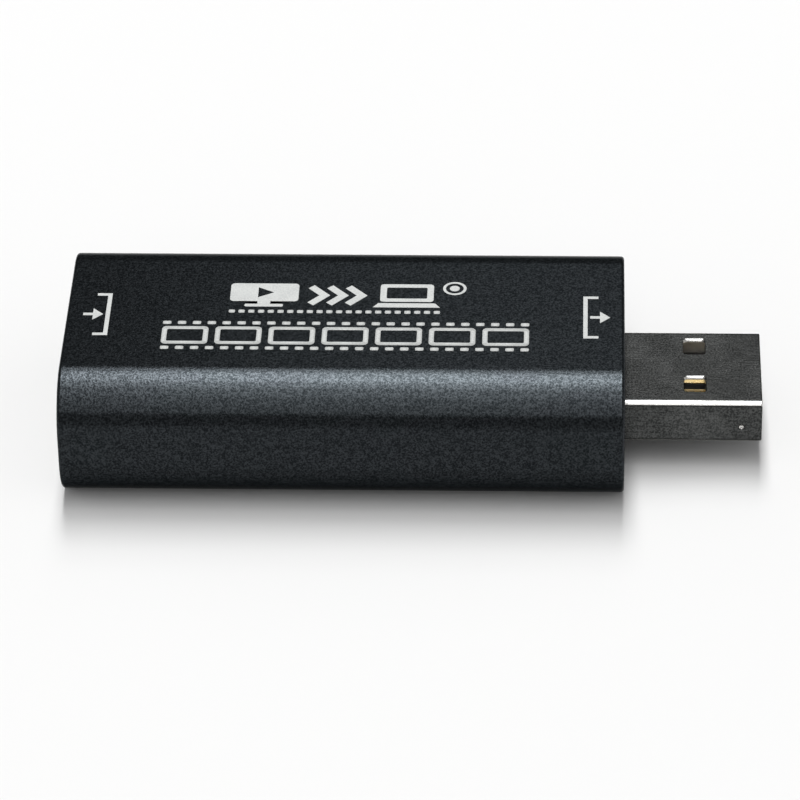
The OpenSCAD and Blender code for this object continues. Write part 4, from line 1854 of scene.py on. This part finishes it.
CAPACITORS = SmallRow(
    "capacitors", "capacitor_terminals", 5, 1, 1.6 * MM, 0.8 * MM,
    FiredBody("capacitor_ceramic", (0.24, 0.16, 0.085), (0.33, 0.23, 0.13), gloss=0.45), Slot.CAPACITOR,
)
RESISTORS = SmallRow(
    "resistors", "resistor_terminals", 6, 1, 1.6 * MM, 0.8 * MM,
    FiredBody("resistor_film", (0.008, 0.008, 0.010), (0.016, 0.016, 0.019), gloss=0.3), Slot.RESISTOR,
)
BEADS = SmallRow(
    "ferrite_beads", "bead_terminals", 1, 2, 2.0 * MM, 1.2 * MM,
    FiredBody("ferrite", (0.030, 0.030, 0.033), (0.052, 0.052, 0.056), gloss=0.62), Slot.FERRITE,
)


@dataclass
class PopulatedBoard:
    """The circuit board with its chips, their leads and the small parts."""

    rules: Rules
    board_edge: float = 0.04 * MM
    chip_edge: float = 0.1 * MM
    lead_thickness: float = 0.15 * MM
    lead_foot: float = 0.6 * MM
    lead_bend: float = 0.1 * MM
    lead_edge: float = 0.03 * MM
    capture_leads: LeadRow = LeadRow(3.5 * MM, 0.8 * MM, 0.24 * MM, 0.5 * MM, 12, 4)
    memory_leads: LeadRow = LeadRow(1.95 * MM, 0.85 * MM, 0.42 * MM, 1.27 * MM, 4, 2)
    three_leads: LeadRow = LeadRow(0.8 * MM, 0.65 * MM, 0.4 * MM, 0.95 * MM, 3)
    two_leads: LeadRow = LeadRow(0.8 * MM, 0.65 * MM, 0.4 * MM, 1.9 * MM, 2)
    regulator_spread: float = 9.0 * MM
    small_edge: float = 0.06 * MM
    terminal: float = 0.3 * MM
    pad_pitch: float = 0.5 * MM
    pad_count: int = 5
    pad_edge: float = 0.02 * MM

    def build(self) -> list[Piece]:
        """Makes the board and everything on it.

        Returns:
            The board's pieces.
        """
        low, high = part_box("circuit_board")
        mask = SolderMask("solder_mask", bottom=low.z, top=high.z)
        board = refined("circuit_board", self.board_edge)
        panel = Piece("board_panel", board, mask, Slot.LAMINATE, ("circuit_board",))
        return [panel, *self.chips(), *self.leads(), *self.small_parts()]

    def chips(self) -> list[Piece]:
        """The moulded chips and the clock crystal.

        Returns:
            Four pieces of chips and two of the crystal.
        """
        resin = FiredBody("chip_resin")
        base = FiredBody("crystal_ceramic", (0.22, 0.17, 0.10), (0.30, 0.24, 0.15), gloss=0.55)
        lid = PlatedSheet("crystal_lid_plating", dark=(0.56, 0.56, 0.57), pale=(0.68, 0.68, 0.69))
        made = [
            Piece(f"{node}_body", refined(node, self.chip_edge, 3), resin, Slot.EPOXY, (node,))
            for node in ("capture_chip", "memory_chip", "regulators", "surge_arrestors")
        ]
        tray = refined("crystal_base", self.small_edge)
        cover = refined("crystal_lid", self.chip_edge, 3)
        made.append(Piece("crystal_tray", tray, base, Slot.CRYSTAL_BASE, ("crystal_base",)))
        made.append(Piece("crystal_cover", cover, lid, Slot.CRYSTAL_LID, ("crystal_lid",)))
        return made

    def lead_rows(self, row: LeadRow) -> Mesh:
        """The leads of one chip, standing on the origin.

        Args:
            row: Where the leads are and how many there are.

        Returns:
            The leads' mesh.
        """
        reach = row.half + 2 * self.lead_thickness + self.lead_foot
        path = bent_path(row.half, reach, row.height, 0.0, self.lead_thickness, self.lead_foot)
        sizes = {
            "Bend": self.lead_bend,
            "Bend Steps": 4,
            "Thickness": self.lead_thickness,
            "Width": row.width,
            "Tail Width": row.width,
            "Pitch": row.pitch,
            "Edge": self.lead_edge,
            "Count": row.count,
            "Sides": row.sides,
        }
        return self.rules.strips.run(polyline(path), TinnedMetal("tinned_leads"), sizes)

    def leads(self) -> list[Piece]:
        """The leads of the chips and the regulators.

        Returns:
            Three pieces.
        """
        finish = TinnedMetal("tinned_leads")
        turned = Matrix.Rotation(math.pi / 2, 4, "Z")
        capture = self.lead_rows(self.capture_leads)
        memory = moved(self.lead_rows(self.memory_leads), turned)
        three = moved(self.lead_rows(self.three_leads), turned)
        two = moved(self.lead_rows(self.two_leads), turned.inverted())
        pair = {"Rows": 2, "Row Pitch": self.regulator_spread}
        regulators = self.rules.copies.run(merged([three, two]), finish, pair)
        made = []
        for chip, mesh in (("capture_chip", capture), ("memory_chip", memory), ("regulator", regulators)):
            node = f"{chip}_leads"
            made.append(Piece(f"{chip}_lead_frame", stood_on(node, mesh), finish, Slot.TINNED, (node,)))
        return made

    def small_parts(self) -> list[Piece]:
        """Rows of capacitors, resistors and beads, their terminals and the arrestors' pads.

        Returns:
            The rows, each with its bodies and its terminals as two pieces, and the pads.
        """
        tin = TinnedMetal("tinned_terminals", crystal=0.08 * MM)
        made = []
        for row in (CAPACITORS, RESISTORS, BEADS):
            low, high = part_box(row.ends)
            size = high - low
            pitches = {
                "Columns": row.columns,
                "Rows": row.rows,
                "Column Pitch": (size.x - row.length) / max(row.columns - 1, 1),
                "Row Pitch": (size.y - row.width) / max(row.rows - 1, 1),
            }
            end = row.length / 2
            inner = end - self.terminal
            side = row.width / 2
            core = eased(block((-inner, -side, 0.0), (inner, side, size.z)), self.small_edge)
            tips = [block((x, -side, 0.0), (x + self.terminal, side, size.z)) for x in (-end, inner)]
            tip_pair = eased(merged(tips), self.small_edge)
            kinds = ((row.bodies, core, row.finish, row.slot), (row.ends, tip_pair, tin, Slot.TINNED))
            for node, motif, skin, slot in kinds:
                mesh = stood_on(row.ends, self.rules.copies.run(motif, skin, pitches))
                made.append(Piece(f"{node}_row", mesh, skin, slot, (node,)))
        made.append(self.arrestor_pads(tin))
        return made

    def arrestor_pads(self, finish: Finish) -> Piece:
        """Two rows of flat pads under the surge arrestors.

        Args:
            finish: The pads' finish.

        Returns:
            The pads.
        """
        node = "surge_arrestor_pads"
        low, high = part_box(node)
        size = high - low
        half = self.pad_pitch / 4
        pad = eased(block((-size.x / 2, -half, 0.0), (size.x / 2, half, size.z)), self.pad_edge)
        span = (self.pad_count - 1) * self.pad_pitch + 2 * half
        row = {"Rows": self.pad_count, "Row Pitch": self.pad_pitch}
        pair = {"Rows": 2, "Row Pitch": size.y - span}
        copies = self.rules.copies
        mesh = copies.run(copies.run(pad, finish, row), finish, pair)
        return Piece("arrestor_pad_rows", stood_on(node, mesh), finish, Slot.TINNED, (node,))


@dataclass(frozen=True)
class ArrowPicture:
    """An arrow and a bracket that show which way the signal goes."""

    wide: float = 2.5 * MM
    tall: float = 6.6 * MM
    line: float = 0.4 * MM
    head: float = 0.95 * MM
    gap: float = 0.64 * MM
    lip: float = 1.2 * MM

    def outlines(self, inwards: bool) -> list[list[Point]]:
        """The picture about the origin.

        Args:
            inwards: Whether the arrow runs into the bracket or out of it.

        Returns:
            Outlines of the arrow and the bracket.
        """
        half = self.wide / 2
        top = self.tall / 2
        shaft = self.line / 2
        back = -half if inwards else -half + self.gap
        tip = half - self.gap if inwards else half
        neck = tip - self.head
        arrow = [
            (back, -shaft), (neck, -shaft), (neck, -self.head), (tip, 0.0),
            (neck, self.head), (neck, shaft), (back, shaft),
        ]
        side = 1 if inwards else -1
        wall = side * (half - shaft)
        lip = wall - side * self.lip
        return [arrow, stroke([(lip, -top), (wall, -top), (wall, top), (lip, top)], self.line)]


@dataclass(frozen=True)
class ScreenPicture:
    """A screen on a foot, with a triangle left bare."""

    wide: float = 6.4 * MM
    corner: float = 0.4 * MM
    post: tuple[float, float] = (1.2 * MM, 0.45 * MM)
    post_overlap: float = 0.02 * MM
    foot: tuple[float, float] = (3.6 * MM, 0.45 * MM)
    foot_corner: float = 0.15 * MM
    play_back: float = 0.6 * MM
    play_tip: float = 0.9 * MM
    play_half: float = 0.85 * MM

    def outlines(self, x: float, low: float, high: float) -> list[list[Point]]:
        """The picture in its place.

        Args:
            x: Its middle.
            low: Its lower edge.
            high: Its upper edge.

        Returns:
            Outlines of the panel, the triangle, the post and the foot.
        """
        post_low = low + self.foot[1]
        panel_low = post_low + self.post[1]
        middle = (panel_low + high) / 2
        panel = round_rectangle(self.wide, high - panel_low, self.corner, 6)
        play = [(-self.play_back, self.play_half), (self.play_tip, 0.0), (-self.play_back, -self.play_half)]
        post = rectangle(self.post[0], self.post[1] + self.post_overlap)
        foot = round_rectangle(*self.foot, self.foot_corner, 4)
        return [
            at(panel, x, middle),
            at(play, x, middle),
            at(post, x, (post_low + panel_low) / 2),
            at(foot, x, (low + post_low) / 2),
        ]


@dataclass(frozen=True)
class ChevronPicture:
    """Chevrons in a row."""

    count: int = 3
    pitch: float = 1.75 * MM
    line: float = 0.75 * MM
    back: float = 0.55 * MM
    tip: float = 0.75 * MM
    half: float = 1.45 * MM

    def outlines(self, x: float, y: float) -> list[list[Point]]:
        """The chevrons, from the first one's place."""
        bend = stroke([(-self.back, self.half), (self.tip, 0.0), (-self.back, -self.half)], self.line)
        return [at(bend, x + index * self.pitch, y) for index in range(self.count)]


@dataclass(frozen=True)
class ComputerPicture:
    """A folding computer with its glass left bare."""

    wide: float = 6.3 * MM
    deck_tall: float = 0.7 * MM
    deck_slope: float = 0.5 * MM
    hinge: float = 0.25 * MM
    lid_wide: float = 5.0 * MM
    lid_corner: float = 0.35 * MM
    glass_wide: float = 3.8 * MM
    glass_margin: float = 0.55 * MM
    glass_corner: float = 0.15 * MM

    def outlines(self, x: float, low: float, high: float) -> list[list[Point]]:
        """The picture in its place.

        Args:
            x: Its middle.
            low: Its lower edge.
            high: Its upper edge.

        Returns:
            Outlines of the deck, the lid and the glass.
        """
        half = self.wide / 2
        top = half - self.deck_slope
        deck = [(-half, 0.0), (half, 0.0), (top, self.deck_tall), (-top, self.deck_tall)]
        lid_low = low + self.deck_tall + self.hinge
        lid_tall = high - lid_low
        middle = (lid_low + high) / 2
        lid = round_rectangle(self.lid_wide, lid_tall, self.lid_corner, 6)
        glass = round_rectangle(self.glass_wide, lid_tall - 2 * self.glass_margin, self.glass_corner, 4)
        return [at(deck, x, low), at(lid, x, middle), at(glass, x, middle)[::-1]]


@dataclass
class TopPrint:
    """White pictures on the sleeve's top, with no lettering: arrows, devices and a strip of film."""

    rules: Rules
    film: float = 0.02 * MM
    sunk: float = 0.004 * MM
    input_x: float = -29.6 * MM
    output_x: float = 17.0 * MM
    mark_y: float = -0.3 * MM
    row_start: float = -17.3 * MM
    row_end: float = 2.4 * MM
    row_low: float = 1.15 * MM
    row_high: float = 5.05 * MM
    chevron_gap: float = 1.7 * MM
    dash_y: float = 0.35 * MM
    dash_size: tuple[float, float] = (0.58 * MM, 0.5 * MM)
    dash_corner: float = 0.12 * MM
    dash_count: int = 22
    record_place: tuple[float, float] = (3.7 * MM, 4.4 * MM)
    record_radius: float = 1.1 * MM
    record_line: float = 0.26 * MM
    record_dot: float = 0.462 * MM
    strip_start: float = -23.3 * MM
    strip_end: float = 10.75 * MM
    strip_low: float = -6.0 * MM
    strip_high: float = -1.35 * MM
    frame_count: int = 7
    frame_gap: float = 0.55 * MM
    frame_margin: float = 0.35 * MM
    frame_corner: float = 0.45 * MM
    frame_border: float = 0.475 * MM
    pane_corner: float = 0.15 * MM
    hole_count: int = 25
    hole_size: tuple[float, float] = (0.78 * MM, 0.52 * MM)
    hole_corner: float = 0.14 * MM

    def build(self) -> list[Piece]:
        """Prints every picture.

        Returns:
            The printed pieces.
        """
        arrow = ArrowPicture()
        dash = round_rectangle(*self.dash_size, self.dash_corner, 4)
        dashes_at = (self.row_start + self.row_end) / 2, self.dash_y
        span = self.row_end - self.row_start - self.dash_size[0]
        return [
            self.printed("print_input_arrow", arrow.outlines(inwards=True), (self.input_x, self.mark_y)),
            self.printed("print_output_arrow", arrow.outlines(inwards=False), (self.output_x, self.mark_y)),
            self.printed("print_devices", self.devices()),
            self.printed("print_record_mark", self.record_mark(), self.record_place),
            self.row("print_dashes", [dash], dashes_at, self.dash_count, span),
            *self.film_strip(),
        ]

    def inked(self, name: str, mesh: Mesh) -> Piece:
        """A mesh about its own middle plane, set on the sleeve's top as ink."""
        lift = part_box("housing_sleeve")[1].z + self.film / 2 - self.sunk
        return Piece(name, shifted(mesh, 0.0, 0.0, lift), ScreenInk("screen_ink"), Slot.INK)

    def printed(self, name: str, outlines: Sequence[Sequence[Point]], place: Point = (0.0, 0.0)) -> Piece:
        """A picture from its outlines, where one inside another is bare."""
        return self.inked(name, plate([at(outline, *place) for outline in outlines], self.film))

    def row(self, name: str, outlines: list, place: Point, count: int, span: float,
            rows: int = 1, rise: float = MM) -> Piece:
        """Even copies of one picture.

        Args:
            name: Name of the piece.
            outlines: The picture about the origin.
            place: Middle of the copies.
            count: Copies in a row.
            span: Distance between the first and the last copy's middle.
            rows: Number of rows.
            rise: Distance between rows.

        Returns:
            The copies as one piece.
        """
        sizes = {"Columns": count, "Rows": rows, "Column Pitch": span / (count - 1), "Row Pitch": rise}
        mesh = self.rules.copies.run(plate(outlines, self.film), ScreenInk("screen_ink"), sizes)
        return self.inked(name, shifted(mesh, *place, 0.0))

    def devices(self) -> list[list[Point]]:
        """A screen, chevrons and a folding computer in one row.

        Returns:
            Their outlines.
        """
        screen = ScreenPicture()
        computer = ComputerPicture()
        heights = self.row_low, self.row_high
        first = self.row_start + screen.wide + self.chevron_gap
        return [
            *screen.outlines(self.row_start + screen.wide / 2, *heights),
            *ChevronPicture().outlines(first, sum(heights) / 2),
            *computer.outlines(self.row_end - computer.wide / 2, *heights),
        ]

    def record_mark(self) -> list[list[Point]]:
        """A ring with a dot, the usual sign for recording."""
        ring = self.record_radius
        return [disc(ring), disc(ring - self.record_line)[::-1], disc(self.record_dot, 32)]

    def film_strip(self) -> list[Piece]:
        """Frames with a row of perforations above and below them.

        Returns:
            The frames and the perforations.
        """
        place = (self.strip_start + self.strip_end) / 2, (self.strip_low + self.strip_high) / 2
        wide = self.strip_end - self.strip_start
        tall = self.strip_high - self.strip_low
        hole_wide, hole_tall = self.hole_size
        frame_wide = wide / self.frame_count - self.frame_gap
        frame_tall = tall - 2 * (hole_tall + self.frame_margin)
        pane_wide = frame_wide - 2 * self.frame_border
        pane_tall = frame_tall - 2 * self.frame_border
        outer = round_rectangle(frame_wide, frame_tall, self.frame_corner, 6)
        pane = round_rectangle(pane_wide, pane_tall, self.pane_corner, 4)
        hole = round_rectangle(*self.hole_size, self.hole_corner, 4)
        rise = tall - hole_tall
        return [
            self.row("print_film_frames", [outer, pane[::-1]], place, self.frame_count, wide - frame_wide),
            self.row("print_film_perforations", [hole], place, self.hole_count, wide - hole_wide, 2, rise),
        ]


@dataclass(frozen=True)
class Strip:
    """A strip light above the box, in the plane across its length.

    Angles are from the vertical, with the camera's side positive. The shift is along the box.
    """

    name: str
    start: float
    end: float
    level: float
    shift: float = 0.0


@dataclass
class Studio:
    """Pale paper, strip lights and a camera at the photograph's angle."""

    eye: tuple[float, float, float] = (14.777 * MM, -389.599 * MM, 273.516 * MM)
    target: tuple[float, float, float] = (-1.435 * MM, 0.0, 3.097 * MM)
    roll: float = math.radians(-0.929)
    lens: float = 226.7
    sensor: float = 36.0
    floor_reach: float = 4.0
    back_level: float = 0.07
    front_level: float = 0.36
    end_level: float = 0.7
    strip_distance: float = 3.0
    strip_width: float = 0.54
    strip_x: float = -0.10
    back_turn: tuple[float, float] = (-0.35, 0.45)
    wall_turn: tuple[float, float] = (0.4, 0.75)
    wall_rise: tuple[float, float] = (0.35, 0.65)
    clip: tuple[float, float] = (0.01, 50.0)
    strips: tuple[Strip, ...] = (
        Strip("far_strip", -61.0, -45.0, 1.15, 0.15),
        Strip("back_strip", -45.0, -34.0, 8.2),
        Strip("key_strip", -34.0, -8.0, 18.6),
        Strip("top_strip", -8.0, 6.0, 10.9),
        Strip("fore_strip", 6.0, 26.0, 5.7),
        Strip("front_strip", 26.0, 44.0, 3.4),
        Strip("low_strip", 44.0, 62.0, 2.2),
    )

    def build(self) -> None:
        """Makes the floor, the lights and the camera."""
        self.floor()
        for strip in self.strips:
            self.lamp(strip)
        self.room()
        self.camera()

    def floor(self) -> None:
        """A wide sheet of paper under the box."""
        reach = self.floor_reach
        mesh = bpy.data.meshes.new("paper_floor")
        corners = [(-reach, -reach, 0.0), (reach, -reach, 0.0), (reach, reach, 0.0), (-reach, reach, 0.0)]
        mesh.from_pydata(corners, [], [(0, 1, 2, 3)])
        mesh.materials.append(PaperFloor("seamless_paper").material())
        sheet = bpy.data.objects.new("paper_floor", mesh)
        bpy.context.scene.collection.objects.link(sheet)

    def lamp(self, strip: Strip) -> None:
        """Hangs one strip light, square to the line from its middle to the box.

        Args:
            strip: Where the strip is and how bright its face is.
        """
        middle = math.radians(strip.start + strip.end) / 2
        half = math.radians(strip.end - strip.start) / 2
        away = Vector((0.0, -math.sin(middle), math.cos(middle)))
        across = Vector((1.0, 0.0, 0.0))
        data = bpy.data.lights.new(strip.name, "AREA")
        data.shape = "RECTANGLE"
        data.size = self.strip_width
        data.size_y = 2 * self.strip_distance * math.tan(half)
        data.energy = strip.level * math.pi * data.size * data.size_y
        lamp = bpy.data.objects.new(strip.name, data)
        axes = Matrix((across, away.cross(across), away)).transposed()
        place = away * self.strip_distance + across * (self.strip_x + strip.shift)
        lamp.matrix_world = Matrix.Translation(place) @ axes.to_4x4()
        bpy.context.scene.collection.objects.link(lamp)

    def room(self) -> None:
        """A dim room round the box, darker behind it than in front of it, with pale walls at its ends."""
        world = bpy.data.worlds.new("dim_room")
        world.use_nodes = True
        world.node_tree.nodes.clear()
        graph = Graph(world.node_tree)
        sight = graph.node("ShaderNodeTexCoord")["Generated"]
        toward = graph.parts(sight)
        back = graph.ramp(toward["Y"], *self.back_turn)
        aside = graph.ramp(abs(toward["X"]), *self.wall_turn)
        wall = aside * (1.0 - graph.ramp(toward["Z"], *self.wall_rise))
        between = self.front_level + back * (self.back_level - self.front_level)
        level = between + wall * (self.end_level - between)
        room = graph.node("ShaderNodeBackground", {}, {"Color": (1.0, 1.0, 1.0), "Strength": level})
        graph.node("ShaderNodeOutputWorld", {}, {"Surface": room})
        bpy.context.scene.world = world

    def camera(self) -> None:
        """The camera, turned a little about its own axis."""
        data = bpy.data.cameras.new("camera")
        data.lens = self.lens
        data.sensor_width = self.sensor
        data.clip_start, data.clip_end = self.clip
        eye = Vector(self.eye)
        back = (eye - Vector(self.target)).normalized()
        right = Vector((0.0, 0.0, 1.0)).cross(back).normalized()
        up = back.cross(right)
        turned_right = right * math.cos(self.roll) + up * math.sin(self.roll)
        turned_up = up * math.cos(self.roll) - right * math.sin(self.roll)
        camera = bpy.data.objects.new("camera", data)
        axes = Matrix((turned_right, turned_up, back)).transposed()
        camera.matrix_world = Matrix.Translation(eye) @ axes.to_4x4()
        bpy.context.scene.collection.objects.link(camera)
        bpy.context.scene.camera = camera


def main() -> None:
    """Builds the studio and the box, sub-assembly by sub-assembly."""
    logging.basicConfig(level=logging.INFO, format="%(name)s: %(message)s")
    bpy.context.scene.view_settings.view_transform = "Standard"
    Studio().build()
    rules = Rules(SheetTube(), StripRow(), Copies())
    plug = SerialPlug(rules)
    socket = VideoSocket(rules)
    caps = Caps()
    openings = {"input_end_cap": socket.opening(), "output_end_cap": plug.opening()}
    pieces = [
        *Sleeve(rules).build(caps),
        *caps.build(openings),
        *plug.build(),
        *socket.build(),
        *PopulatedBoard(rules).build(),
        *TopPrint(rules).build(),
    ]
    for piece in pieces:
        piece.place()


if __name__ == "__main__":
    main()
